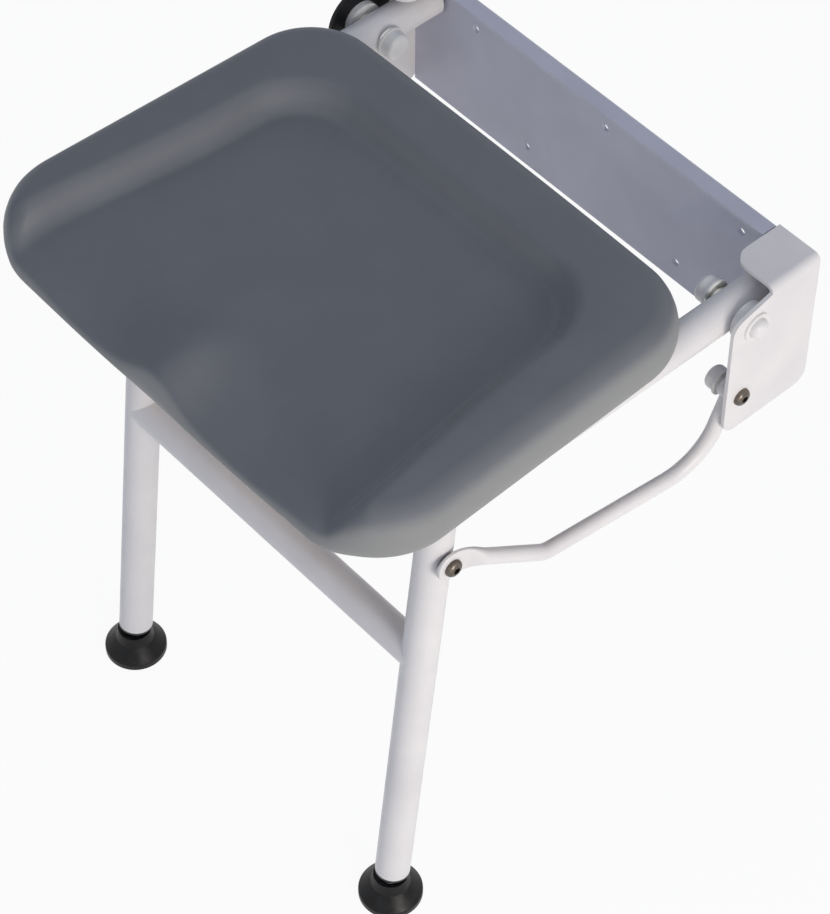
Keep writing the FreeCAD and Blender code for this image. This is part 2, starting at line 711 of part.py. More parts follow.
def leg_bushes():
    """Bushes across the tops of the legs, in which the pivot bolts turn."""
    body = ring("LegBush", d("tube_od"), "(Dims.strut_pin + 2 * Dims.eye_bush_wall)",
                "(Dims.strut_pin + 2 * Dims.pin_play)", LEG_IN, LEG_PIVOT[0], LEG_PIVOT[1])
    keep_pair("leg_bushes", body)


def leg_crossbar():
    body = new_body("LegCrossbar")
    section = new_sketch(body, "CrossbarSection", "YZ_Plane")
    circle(section, "0", "-Dims.crossbar_drop", d("tube_od"))
    circle(section, "0", "-Dims.crossbar_drop", TUBE_BORE)
    pad(body, section, "2 * %s" % LEG_X, middle=True)
    cope = new_sketch(body, "CrossbarCope", "XY_Plane")
    circle(cope, LEG_X, "0", d("tube_od"))
    circle(cope, "-%s" % LEG_X, "0", d("tube_od"))
    pocket(body, cope)
    place(body, "0", LEG_PIVOT[0], LEG_PIVOT[1], tilted=True)
    keep("leg_crossbar", body)


def upright_turned(name, corners, tilted=False):
    """A piece turned about its own Z axis: corners are (radius, height) pairs of expressions."""
    body = new_body(name)
    sketch = new_sketch(body, name + "Profile", "XZ_Plane")
    polygon(sketch, corners)
    spin = body.newObject("PartDesign::Revolution", name + "Turn")
    spin.Profile = sketch
    spin.ReferenceAxis = (sketch, ["V_Axis"])
    spin.Angle = 360.0
    doc.recompute()
    return body


def leg_top_plugs():
    bore = "%s / 2" % TUBE_BORE
    corners = (
        ("0", "Dims.leg_top - Dims.plug_depth"),
        (bore, "Dims.leg_top - Dims.plug_depth"),
        (bore, "Dims.leg_top"),
        ("Dims.tube_od / 2", "Dims.leg_top"),
        ("Dims.tube_od / 2", "Dims.leg_top + Dims.plug_flange"),
        ("0", "Dims.leg_top + Dims.plug_flange"),
    )
    body = upright_turned("LegTopPlug", corners)
    place(body, LEG_X, LEG_PIVOT[0], LEG_PIVOT[1], tilted=True)
    keep_pair("leg_top_plugs", body)


def strut_front_fittings():
    """The bolt that holds each strut to its leg, with spacer, nut and cap."""
    y, z = STRUT_FRONT
    spacer = "(Dims.washer_thick)"
    eye_in = "(%s + %s + Dims.side_play)" % (LEG_OUT, spacer)
    head_face = "(%s + Dims.eye_thick + Dims.side_play)" % eye_in
    nut_face = LEG_IN
    tail = "(%s - Dims.small_nut - 1)" % nut_face
    grip = "(%s - %s)" % (head_face, tail)
    bore = "(Dims.strut_pin + 2 * Dims.pin_play)"
    keep_pair("strut_front_bolts", bolt("StrutFrontBolt", d("strut_pin"), grip, d("button_od"),
                                        d("button"), tail, y, z,
                                            d("button_socket")))
    keep_pair("strut_front_spacers", ring("StrutFrontSpacer", spacer, d("small_washer_od"), bore,
                                          LEG_OUT, y, z))
    keep_pair("strut_front_nuts", hex_nut("StrutFrontNut", d("small_nut_af"), d("small_nut"),
                                          d("strut_pin"), "%s - Dims.small_nut" % nut_face, y, z))
    keep_pair("strut_front_caps", nut_cap("StrutFrontCap", d("small_nut_af"), "Dims.small_nut + 2",
                                          nut_face, y, z))


# Struts
def vector(x, point):
    return FreeCAD.Vector(x, point[0], point[1])


def bent_struts():
    """Round bar, bent twice in its own upright plane: a cross eye at the cheek, a flat eye at the leg."""
    s = size
    lean = math.radians(s["leg_tilt"])
    cheek_in = s["bracket_width"] / 2 - s["sheet"]
    leg_out = cheek_in - s["spacer_length"] - s["tube_od"] - s["leg_gap"]
    hinge = FreeCAD.Vector(0, -s["hinge_from_wall"], s["bracket_height"] / 2 - s["hinge_below_top"])
    link = FreeCAD.Vector(0, -math.sin(lean), -math.cos(lean)) * s["link_length"]
    arm = FreeCAD.Vector(0, -s["arm_reach"], -s["arm_drop"])
    rear = hinge + link
    front = rear + arm
    side = FreeCAD.Vector(1, 0, 0)
    radius = s["strut_od"] / 2
    rear_bar = cheek_in - s["side_play"] - radius
    front_eye = leg_out + s["washer_thick"] + s["side_play"] + s["eye_thick"] / 2
    front_bar = front_eye - s["eye_thick"] / 2 + radius
    slope = (front_bar - rear_bar) / arm.y

    def on_plane(y, z):
        return FreeCAD.Vector(rear_bar + slope * y, rear.y + y, rear.z + z)

    start = on_plane(0, 0)
    first = on_plane(-s["strut_lead"], -s["strut_drop"])
    second = on_plane(-s["strut_lead"] - s["strut_run"], -s["strut_drop"])
    end = on_plane(arm.y, arm.z + s["eye_lift"])

    def unit(v):
        return FreeCAD.Vector(v).normalize()

    def bend(before, corner, after, inner):
        """Tangent arc that turns the bar at a corner: its two ends and its middle."""
        back = unit(before - corner)
        ahead = unit(after - corner)
        half = back.getAngle(ahead) / 2
        reach = inner / math.tan(half)
        centre = corner + unit(back + ahead) * (inner / math.sin(half))
        middle = centre + unit(corner - centre) * inner
        return corner + back * reach, middle, corner + ahead * reach

    back = unit(second - end)
    down = unit(first - start)
    a_in, a_mid, a_out = bend(start, first, second, s["strut_bend"])
    b_in, b_mid, b_out = bend(first, second, end, s["strut_kink"])
    joint = end + back * (s["eye_flat"] + s["eye_taper"])
    path = Part.Wire([
        Part.makeLine(start, a_in),
        Part.Arc(a_in, a_mid, a_out).toShape(),
        Part.makeLine(a_out, b_in),
        Part.Arc(b_in, b_mid, b_out).toShape(),
        Part.makeLine(b_out, joint),
    ])

    def oval(centre, along, width, thick):
        """A flattened section: two straight sides and two round ends, square to the bar."""
        thin = unit(side - along * side.dot(along))
        broad = unit(along.cross(thin))
        r = thick / 2
        w = width / 2 - r
        corners = [centre + broad * w + thin * r, centre - broad * w + thin * r,
                   centre - broad * w - thin * r, centre + broad * w - thin * r]
        return Part.Wire([
            Part.makeLine(corners[0], corners[1]),
            Part.Arc(corners[1], centre - broad * (w + r), corners[2]).toShape(),
            Part.makeLine(corners[2], corners[3]),
            Part.Arc(corners[3], centre + broad * (w + r), corners[0]).toShape(),
        ])

    def full_round(centre, along):
        thin = unit(side - along * side.dot(along))
        broad = unit(along.cross(thin))
        k = radius / math.sqrt(2)
        corners = [centre + broad * k + thin * k, centre - broad * k + thin * k,
                   centre - broad * k - thin * k, centre + broad * k - thin * k]
        middles = [centre + thin * radius, centre - broad * radius,
                   centre - thin * radius, centre + broad * radius]
        arcs = [Part.Arc(corners[i], middles[i], corners[(i + 1) % 4]).toShape() for i in range(4)]
        return Part.Wire(arcs)

    bar = path.makePipeShell([full_round(start, down)], True, False)

    # the flattened end: a taper, the flat of the bar and the eye that hangs below it
    pivot = FreeCAD.Vector(front_eye, front.y, front.z)
    level = unit(FreeCAD.Vector(0, back.y, back.z))
    neck = FreeCAD.Vector(front_eye, end.y, end.z) + level * s["eye_flat"]
    width = math.pi / 2 * s["strut_od"]
    taper = Part.makeLoft([oval(neck, level, width, s["eye_thick"]), full_round(joint, back)], True, False)
    half = side * (s["eye_thick"] / 2)
    disc = Part.makeCylinder(s["eye_od"] / 2, s["eye_thick"], pivot - half, side)
    broad = level.cross(side) * (width / 2 - s["eye_thick"] / 2)
    if broad.z < 0:
        broad = broad * -1
    across = unit(neck - pivot).cross(side) * (0.97 * s["eye_od"] / 2)
    if across.z < 0:
        across = across * -1
    rim = [pivot + across - half, pivot - across - half, neck - broad - half, neck + broad - half]
    flat = Part.Face(Part.makePolygon(rim + rim[:1])).extrude(half * 2)

    # the cross eye
    cross = Part.makeCylinder(s["rear_eye_od"] / 2, s["strut_od"],
                              FreeCAD.Vector(rear_bar - radius, rear.y, rear.z), side)
    solid = bar.fuse([taper, disc, flat, cross])
    bore = s["strut_pin"] / 2 + s["pin_play"] + s["eye_bush_wall"]
    for spot in (FreeCAD.Vector(rear_bar, rear.y, rear.z), pivot):
        solid = solid.cut(Part.makeCylinder(bore, 2 * s["strut_od"], spot - side * s["strut_od"], side))
    right = doc.addObject("Part::Feature", "StrutRight")
    right.Shape = solid.removeSplitter()
    keep_sides("strut", right)


def strut_bushes():
    """Plain bushes pressed into the struts' eyes."""
    bore = "(Dims.strut_pin + 2 * Dims.pin_play)"
    outer = "(%s + 2 * Dims.eye_bush_wall)" % bore
    rear = ring("StrutBushRear", d("strut_od"), outer, bore,
                "%s - Dims.side_play - Dims.strut_od" % CHEEK_IN, STRUT_REAR[0], STRUT_REAR[1])
    front = ring("StrutBushFront", d("eye_thick"), outer, bore,
                 "%s + Dims.washer_thick + Dims.side_play" % LEG_OUT, STRUT_FRONT[0], STRUT_FRONT[1])
    for side in ("right", "left"):
        group = doc.addObject("Part::Compound", "Bushes_" + side)
        if side == "right":
            group.Links = [rear, front]
        else:
            group.Links = [mirror(rear, "BushRearTwin"), mirror(front, "BushFrontTwin")]
        keep("strut_bushes_" + side, group)


# Feet
def foot_inserts():
    """Threaded plugs in the lower ends of the legs."""
    bore = "%s / 2" % TUBE_BORE
    corners = (
        ("Dims.stem_od / 2", "-Dims.leg_length - Dims.insert_flange"),
        ("Dims.tube_od / 2", "-Dims.leg_length - Dims.insert_flange"),
        ("Dims.tube_od / 2", "-Dims.leg_length"),
        (bore, "-Dims.leg_length"),
        (bore, "-Dims.leg_length + Dims.insert_depth"),
        ("Dims.stem_od / 2", "-Dims.leg_length + Dims.insert_depth"),
    )
    body = upright_turned("FootInsert", corners)
    place(body, LEG_X, LEG_PIVOT[0], LEG_PIVOT[1], tilted=True)
    keep_pair("foot_inserts", body)


def foot_stems():
    """Threaded stems, each ending in a cross barrel that its foot tilts on."""
    body = upright_turned("FootStem", (
        ("0", "-Dims.leg_length - Dims.stem_length"),
        ("Dims.stem_od / 2", "-Dims.leg_length - Dims.stem_length"),
        ("Dims.stem_od / 2", "-Dims.leg_length + Dims.insert_depth"),
        ("0", "-Dims.leg_length + Dims.insert_depth"),
    ))
    end = new_sketch(body, "StemBarrel", "YZ_Plane")
    circle(end, "0", "-Dims.leg_length - Dims.stem_length", d("barrel_od"))
    pad(body, end, d("barrel_length"), middle=True)
    place(body, LEG_X, LEG_PIVOT[0], LEG_PIVOT[1], tilted=True)
    keep_pair("foot_stems", body)


def feet():
    """Flared rubber feet, flat on the floor, each clipped over the barrel of its stem."""
    mouth = "(Dims.stem_od / 2 + Dims.foot_mouth_play)"
    throat = "(Dims.barrel_od / 4)"
    corners = (
        ("0", "-Dims.foot_pivot_height"),
        ("Dims.foot_od / 2", "-Dims.foot_pivot_height"),
        ("Dims.foot_od / 2", "Dims.foot_edge - Dims.foot_pivot_height"),
        ("Dims.foot_neck_od / 2 + 2", "Dims.foot_height * 0.62 - Dims.foot_pivot_height"),
        ("Dims.foot_neck_od / 2", "Dims.foot_height - Dims.foot_pivot_height"),
        ("Dims.foot_mouth / 2", "Dims.foot_height - Dims.foot_pivot_height"),
        (mouth, throat),
        ("0", throat),
    )
    body = upright_turned("FootRight", corners)
    edge_z = size["foot_edge"] - size["foot_pivot_height"]
    round_edges(body, "Dims.foot_edge * 0.45", lambda edge: hasattr(edge.Curve, "Radius")
                and abs(edge.Curve.Radius - size["foot_od"] / 2) < 0.01
                and abs(edge.CenterOfMass.z - edge_z) < 0.01)
    socket = new_sketch(body, "FootSocket", "YZ_Plane")
    circle(socket, "0", "0", "Dims.barrel_od + 2 * Dims.pin_play")
    pocket(body, socket, "Dims.barrel_length + 2 * Dims.side_play")
    reach = "(Dims.leg_length + Dims.stem_length)"
    place(body, LEG_X, "%s - %s * sin(%s)" % (LEG_PIVOT[0], reach, TILT),
          "%s - %s * cos(%s)" % (LEG_PIVOT[1], reach, TILT))
    keep_sides("foot", body)


# Pad
PAD_BACK = "(%s - Dims.pad_setback)" % HINGE[0]
PAD_MIDDLE = "(%s - Dims.pad_depth / 2)" % PAD_BACK
PAD_FLOOR = "(%s + Dims.pad_skirt)" % HINGE[1]
BOARD_FLOOR = "(%s + Dims.tube_od / 2)" % HINGE[1]


def pad_board():
    """The stiff board moulded into the pad's underside, which rests on the tubes and rails."""
    body = new_body("PadBoard")
    outline = new_sketch(body, "BoardOutline", "XY_Plane")
    wide = "Dims.board_width / 2"
    long = "Dims.board_length / 2"
    polygon(outline, (("-" + wide, "-" + long), (wide, "-" + long), (wide, long), ("-" + wide, long)))
    for y in ("rear_rail_reach", "front_rail_reach"):
        for side in ("", "-"):
            circle(outline, side + "Dims.board_screw_pitch / 2",
                   "%s - Dims.%s - %s" % (HINGE[0], y, PAD_MIDDLE), d("insert_od"))
    pad(body, outline, d("board_thick"))
    upright = straight_along(FreeCAD.Vector(0, 0, 1))
    round_edges(body, "Dims.pad_front_corner / 2", upright)
    place(body, "0", PAD_MIDDLE, BOARD_FLOOR)
    keep("pad_board", body)


def board_fasteners():
    """Four screws up through the rails, and the threaded inserts in the board that take them."""
    head = "Dims.board_screw * 0.55"
    tip = "(Dims.tube_od + Dims.board_thick - 1)"
    screws = []
    inserts = []
    for name, reach in (("Rear", "rear_rail_reach"), ("Front", "front_rail_reach")):
        y = "%s - Dims.%s" % (HINGE[0], reach)
        z = "%s - Dims.tube_od / 2" % HINGE[1]
        screw = upright_turned("BoardScrew" + name, (
            ("0", "-" + head),
            ("Dims.board_screw", "-" + head),
            ("Dims.board_screw", "0"),
            ("Dims.board_screw / 2", "0"),
            ("Dims.board_screw / 2", tip),
            ("0", tip),
        ))
        place(screw, "Dims.board_screw_pitch / 2", y, z)
        insert = upright_turned("BoardInsert" + name, (
            ("Dims.board_screw / 2", "0"),
            ("Dims.insert_od / 2", "0"),
            ("Dims.insert_od / 2", "Dims.board_thick"),
            ("Dims.board_screw / 2", "Dims.board_thick"),
        ))
        place(insert, "Dims.board_screw_pitch / 2", y, BOARD_FLOOR)
        screws += [screw, mirror(screw, "BoardScrewTwin" + name)]
        inserts += [insert, mirror(insert, "BoardInsertTwin" + name)]
    for label, members in (("board_screws", screws), ("board_inserts", inserts)):
        group = doc.addObject("Part::Compound", label + "_group")
        group.Links = members
        keep(label, group)


def pad_outline(inset, z):
    """The pad's plan at one height: straight sides and round corners, drawn in by the inset."""
    s = size
    front_x = s["pad_front_width"] / 2 - inset
    back_x = s["pad_back_width"] / 2 - inset
    front_y = inset - s["pad_depth"] / 2
    front_r = s["pad_front_corner"] - inset
    back_r = s["pad_back_corner"] - inset
    corners = ((-front_x, front_y, front_r), (front_x, front_y, front_r),
               (back_x, -front_y, back_r), (-back_x, -front_y, back_r))
    points = [FreeCAD.Vector(x, y, z) for x, y, r in corners]
    arcs = []
    for k in range(4):
        here = points[k]
        to_last = (points[k - 1] - here).normalize()
        to_next = (points[(k + 1) % 4] - here).normalize()
        half = to_last.getAngle(to_next) / 2
        radius = corners[k][2]
        reach = radius / math.tan(half)
        centre = here + (to_last + to_next).normalize() * (radius / math.sin(half))
        middle = centre + (here - centre).normalize() * radius
        arcs.append((here + to_last * reach, middle, here + to_next * reach))
    edges = []
    for k in range(4):
        edges.append(Part.Arc(*arcs[k]).toShape())
        edges.append(Part.makeLine(arcs[k][2], arcs[(k + 1) % 4][0]))
    return Part.Wire(edges)


def dish_section(y, crest, wall, floor, hump):
    """One upright slice of the space above the seat, symmetric about the middle.

    From the rim's crest each side falls to the floor in two arcs that meet halfway, and one
    more arc carries the floor over the low hump between the thigh channels.
    """
    rim = size["pad_thick"] + 0.4
    lid = rim + 20
    foot = crest - wall
    drop = rim - floor
    radius = (wall * wall + drop * drop) / (4 * drop)
    swing = math.atan(drop / wall)
    over = FreeCAD.Vector(radius * math.sin(swing), 0, radius * (1 - math.cos(swing)))

    def point(x, z):
        return FreeCAD.Vector(x, y, z)

    right = [
        Part.Arc(point(foot, floor), point(foot + over.x, floor + over.z),
                 point(foot + wall / 2, (rim + floor) / 2)).toShape(),
        Part.Arc(point(foot + wall / 2, (rim + floor) / 2), point(crest - over.x, rim - over.z),
                 point(crest, rim)).toShape(),
    ]
    left = [
        Part.Arc(point(-crest, rim), point(over.x - crest, rim - over.z),
                 point(-foot - wall / 2, (rim + floor) / 2)).toShape(),
        Part.Arc(point(-foot - wall / 2, (rim + floor) / 2), point(-foot - over.x, floor + over.z),
                 point(-foot, floor)).toShape(),
    ]
    middle = Part.Arc(point(-foot, floor), point(0, floor + hump), point(foot, floor)).toShape()
    lines = [
        Part.makeLine(point(crest, rim), point(crest, lid)),
        Part.makeLine(point(crest, lid), point(-crest, lid)),
        Part.makeLine(point(-crest, lid), point(-crest, rim)),
    ]
    return Part.Wire(left + [middle] + right + lines)


def seat_pad():
    """Moulded foam: rounded sides, a raised rim, a sunken seat and two thigh channels."""
    s = size
    thick = s["pad_thick"]
    half = s["pad_depth"] / 2
    # from the underside up: how far the side is drawn in, and at what share of the height
    side = ((4.5, 0.0), (0.6, 0.11), (0.0, 0.36), (3.2, 0.72), (7.5, 0.9), (15.0, 1.0))
    shell = Part.makeLoft([pad_outline(inset, share * thick) for inset, share in side], True, False)

    crest = s["pad_front_width"] / 2 - s["pad_rim"]
    wall = s["pad_wall"]
    floor = thick - s["pad_dish"]
    hump = s["pad_pommel"]
    sections = (
        dish_section(half - 20, crest - 70, wall, thick + 0.2, 0.1),
        dish_section(half - 46, crest - 32, wall, thick - 0.42 * s["pad_dish"], 0.4),
        dish_section(half - 76, crest - 14, wall, thick - 0.86 * s["pad_dish"], 0.5),
        dish_section(half - 125, crest - 8, wall, floor, 0.6),
        dish_section(-10, crest - 5, wall, floor, 0.8),
        dish_section(-half + 72, crest - 2, wall, floor, hump * 0.5),
        dish_section(-half + 34, crest, wall, floor - 1, hump),
        dish_section(-half + 13, crest + 1, wall, floor - 4, hump),
        dish_section(-half - 6, crest + 2, wall, floor - s["pad_front_fall"], hump),
    )
    foam = shell.cut(Part.makeLoft(list(sections), True, False))

    # underneath: a recess for the frame, one for the board, and a way out for each tube
    play = s["board_play"]
    tube_out = s["bracket_width"] / 2 - s["sheet"] - s["spacer_length"] + play
    tube_in = tube_out - s["tube_od"] - 2 * play
    frame_top = s["tube_od"] / 2 - s["pad_skirt"] + play
    hinge_to_middle = s["pad_setback"] + half
    frame_front = hinge_to_middle - s["tube_front"] - s["plug_flange"] - play
    frame_back = half - s["pad_back_skirt"]
    board_top = frame_top + s["board_thick"]
    upright = straight_along(FreeCAD.Vector(0, 0, 1))

    def hollow(x0, x1, y0, y1, top):
        return Part.makeBox(x1 - x0, y1 - y0, top + 5, FreeCAD.Vector(x0, y0, -5))

    board_x = s["board_width"] / 2 + play
    board_y = s["board_length"] / 2 + play
    board = hollow(-board_x, board_x, -board_y, board_y, board_top)
    foam = foam.cut([
        hollow(-tube_out, tube_out, frame_front, frame_back, frame_top),
        board.makeFillet(s["pad_front_corner"] / 2, [edge for edge in board.Edges if upright(edge)]),
        hollow(tube_in, tube_out, 0, half + 5, frame_top),
        hollow(-tube_out, -tube_in, 0, half + 5, frame_top),
    ])
    body = doc.addObject("Part::Feature", "SeatPad")
    body.Shape = foam.removeSplitter()
    place(body, "0", PAD_MIDDLE, PAD_FLOOR)
    keep("seat_pad", body)


# Build, check and write
wall_plate()
cheeks()
hinge_fittings()
strut_rear_fittings()
seat_tubes()
hinge_sleeves()
keep("rear_rail", rail("RearRail", d("rear_rail_reach")))
keep("front_rail", rail("FrontRail", d("front_rail_reach")))
tube_plugs()
leg_lugs()
leg_pivot_fittings()
leg_tubes()
leg_bushes()
leg_crossbar()
leg_top_plugs()
strut_front_fittings()
bent_struts()
strut_bushes()
foot_inserts()
foot_stems()
feet()
pad_board()
board_fasteners()
seat_pad()
doc.recompute()

for obj in doc.Objects:
    if "Invalid" in obj.State or "Error" in obj.State:
        raise RuntimeError("%s did not compute: %s" % (obj.Label, obj.State))
os.makedirs("parts", exist_ok=True)
for label, obj in parts.items():
    shape = obj.Shape
    if shape.isNull() or not shape.isValid():
        raise RuntimeError(label + " has no valid shape")
    shape.exportStep("parts/%s.step" % label)
    print("%-20s %2d solids %10.1f mm3" % (label, len(shape.Solids), shape.Volume))
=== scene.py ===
"""Fold down wall seat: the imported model's finishes, moulded pad, bent struts, welds and stage."""

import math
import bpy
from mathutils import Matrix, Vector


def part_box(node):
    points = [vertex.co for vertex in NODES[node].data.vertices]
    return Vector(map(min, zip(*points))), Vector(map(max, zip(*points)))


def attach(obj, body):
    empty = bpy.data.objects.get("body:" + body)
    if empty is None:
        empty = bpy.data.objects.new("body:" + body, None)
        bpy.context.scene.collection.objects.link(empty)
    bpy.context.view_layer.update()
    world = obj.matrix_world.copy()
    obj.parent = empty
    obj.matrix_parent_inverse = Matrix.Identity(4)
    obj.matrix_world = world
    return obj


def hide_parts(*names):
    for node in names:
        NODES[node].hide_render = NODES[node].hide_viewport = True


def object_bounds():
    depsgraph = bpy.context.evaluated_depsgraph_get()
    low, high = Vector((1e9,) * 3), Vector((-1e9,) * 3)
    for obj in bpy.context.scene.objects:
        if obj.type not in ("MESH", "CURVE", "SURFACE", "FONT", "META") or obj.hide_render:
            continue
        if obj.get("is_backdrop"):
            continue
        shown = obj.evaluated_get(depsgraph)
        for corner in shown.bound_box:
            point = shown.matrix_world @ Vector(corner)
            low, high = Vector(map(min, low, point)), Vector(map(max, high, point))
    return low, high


bl_info = {
    "name": "Fold down wall seat",
    "version": (1, 0, 0),
    "blender": (4, 5, 0),
    "location": "View3D > Sidebar > Wall Seat",
    "description": "Finishes, moulded pad, bent struts, welds and stage for a fold down wall seat",
    "category": "Object",
}

import bmesh
import bpy
from bpy.props import FloatProperty, FloatVectorProperty, PointerProperty
from mathutils import Matrix, Vector
from mathutils.noise import noise

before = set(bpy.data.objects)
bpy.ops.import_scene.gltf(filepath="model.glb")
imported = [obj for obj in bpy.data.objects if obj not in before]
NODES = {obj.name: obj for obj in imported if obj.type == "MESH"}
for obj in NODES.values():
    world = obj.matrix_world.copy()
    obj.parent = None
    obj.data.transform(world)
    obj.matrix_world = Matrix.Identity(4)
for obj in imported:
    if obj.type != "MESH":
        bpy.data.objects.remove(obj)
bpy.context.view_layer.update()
MM = 0.001
LEG_LEAN = 6.0  # degrees out of upright
WHITE = (1.0, 1.0, 1.0, 1.0)


# Colours and nodes
def linear(hex_colour):
    """An sRGB hex colour as linear red, green, blue and alpha."""
    channels = []
    for k in (1, 3, 5):
        value = int(hex_colour[k:k + 2], 16) / 255
        channels.append(value / 12.92 if value <= 0.04045 else ((value + 0.055) / 1.055) ** 2.4)
    return (*channels, 1.0)


def darker(colour, share):
    """A colour at a share of its brightness."""
    return (*(share * channel for channel in colour[:3]), 1.0)


def add_node(tree, kind, inputs=None, **settings):
    """One shader node: settings are its own properties, inputs its sockets' values or links."""
    node = tree.nodes.new(kind)
    for name, value in settings.items():
        setattr(node, name, value)
    for name, value in (inputs or {}).items():
        socket = node.inputs[name]
        if isinstance(value, bpy.types.NodeSocket):
            tree.links.new(value, socket)
        else:
            socket.default_value = value
    return node


def new_surface(name, **constants):
    """A material with a Principled surface: the material, its tree, its shader, its coordinates."""
    material = bpy.data.materials.new(name)
    material.use_nodes = True
    tree = material.node_tree
    tree.nodes.clear()
    shader = add_node(tree, "ShaderNodeBsdfPrincipled")
    for socket, value in constants.items():
        shader.inputs[socket.replace("_", " ")].default_value = value
    output = add_node(tree, "ShaderNodeOutputMaterial")
    tree.links.new(shader.outputs["BSDF"], output.inputs["Surface"])
    place = add_node(tree, "ShaderNodeTexCoord").outputs["Object"]
    return material, tree, shader, place


def seen(tree):
    """1 for what the camera sees, straight or in metal and glass, and 0 for the light on things."""
    path = add_node(tree, "ShaderNodeLightPath")
    mirrored = add_node(tree, "ShaderNodeMath", {
        0: path.outputs["Is Glossy Ray"], 1: path.outputs["Is Transmission Ray"]},
        operation="MAXIMUM")
    either = add_node(tree, "ShaderNodeMath", {
        0: path.outputs["Is Camera Ray"], 1: mirrored.outputs["Value"]}, operation="MAXIMUM")
    return either.outputs["Value"]


def per_metre(size_mm):
    """Texture scale that makes one feature of a noise about this many millimetres wide."""
    return 1000.0 / size_mm


# Materials
RINGS_PER_UNIT = 20 / (2 * math.pi)  # in the wave texture's own space


def powder_coated_steel(name, thin, full):
    """Steel sheet and tube in white polyester powder, baked on.

    The coat flows out satin, with a faint orange-peel ripple, and builds up a little thicker and
    whiter in soft clouds. Here and there it is rubbed duller by hands and trousers.
    """
    material, tree, shader, place = new_surface(name, IOR=1.5)
    cloud = add_node(tree, "ShaderNodeTexNoise", {
        "Vector": place, "Scale": per_metre(55.0), "Detail": 3.0, "Roughness": 0.5})
    spread = add_node(tree, "ShaderNodeMapRange", {
        "Value": cloud.outputs["Fac"], "From Min": 0.35, "From Max": 0.65})
    tone = add_node(tree, "ShaderNodeMix", {
        "Factor": spread.outputs["Result"], "A": thin, "B": full}, data_type="RGBA")
    tree.links.new(tone.outputs["Result"], shader.inputs["Base Color"])
    rub = add_node(tree, "ShaderNodeTexNoise", {
        "Vector": place, "Scale": per_metre(14.0), "Detail": 4.0, "Roughness": 0.6})
    gloss = add_node(tree, "ShaderNodeMapRange", {
        "Value": rub.outputs["Fac"], "From Min": 0.3, "From Max": 0.7,
        "To Min": 0.30, "To Max": 0.44})
    tree.links.new(gloss.outputs["Result"], shader.inputs["Roughness"])
    # orange peel repeats every 1.5 to 3 mm
    peel = add_node(tree, "ShaderNodeTexNoise", {
        "Vector": place, "Scale": per_metre(bpy.context.scene.wall_seat_coat.ripple),
        "Detail": 1.5, "Roughness": 0.4})
    bump = add_node(tree, "ShaderNodeBump", {
        "Height": peel.outputs["Fac"], "Strength": 0.12, "Distance": 0.0004})
    tree.links.new(bump.outputs["Normal"], shader.inputs["Normal"])
    return material


def zinc_plated_steel():
    """Bright zinc plate over turned steel: a pale metal with fine turning rings, clouded grey."""
    material, tree, shader, place = new_surface("zinc_plated_steel", Metallic=1.0)
    cloud = add_node(tree, "ShaderNodeTexNoise", {
        "Vector": place, "Scale": per_metre(3.0), "Detail": 4.0, "Roughness": 0.6})
    tone = add_node(tree, "ShaderNodeMix", {
        "Factor": cloud.outputs["Fac"], "A": linear("#C3C4C3"), "B": linear("#DEDEDB")},
        data_type="RGBA")
    tree.links.new(tone.outputs["Result"], shader.inputs["Base Color"])
    gloss = add_node(tree, "ShaderNodeMapRange", {
        "Value": cloud.outputs["Fac"], "From Min": 0.3, "From Max": 0.7,
        "To Min": 0.36, "To Max": 0.52})
    tree.links.new(gloss.outputs["Result"], shader.inputs["Roughness"])
    # turning marks are 0.1 to 0.2 mm apart; drawn at 1.6 mm so that they show
    turning = add_node(tree, "ShaderNodeTexWave", {
        "Vector": place, "Scale": per_metre(1.583) / RINGS_PER_UNIT, "Distortion": 0.8},
        wave_type="RINGS", rings_direction="X")
    bump = add_node(tree, "ShaderNodeBump", {
        "Height": turning.outputs["Fac"], "Strength": 0.12, "Distance": 0.0001})
    tree.links.new(bump.outputs["Normal"], shader.inputs["Normal"])
    return material


def blackened_steel():
    """Bolts of blackened steel: a dark oxide that gleams brownish where a key has rubbed it."""
    material, tree, shader, place = new_surface("blackened_steel", Metallic=1.0)
    rub = add_node(tree, "ShaderNodeTexNoise", {
        "Vector": place, "Scale": per_metre(2.2), "Detail": 4.0, "Roughness": 0.6})
    tone = add_node(tree, "ShaderNodeMix", {
        "Factor": rub.outputs["Fac"], "A": linear("#34322F"), "B": linear("#8A7F76")},
        data_type="RGBA")
    tree.links.new(tone.outputs["Result"], shader.inputs["Base Color"])
    gloss = add_node(tree, "ShaderNodeMapRange", {
        "Value": rub.outputs["Fac"], "From Min": 0.3, "From Max": 0.7,
        "To Min": 0.26, "To Max": 0.48})
    tree.links.new(gloss.outputs["Result"], shader.inputs["Roughness"])
    grit = add_node(tree, "ShaderNodeTexNoise", {
        "Vector": place, "Scale": per_metre(0.7), "Detail": 3.0, "Roughness": 0.6})
    bump = add_node(tree, "ShaderNodeBump", {
        "Height": grit.outputs["Fac"], "Strength": 0.14, "Distance": 0.0001})
    tree.links.new(bump.outputs["Normal"], shader.inputs["Normal"])
    return material


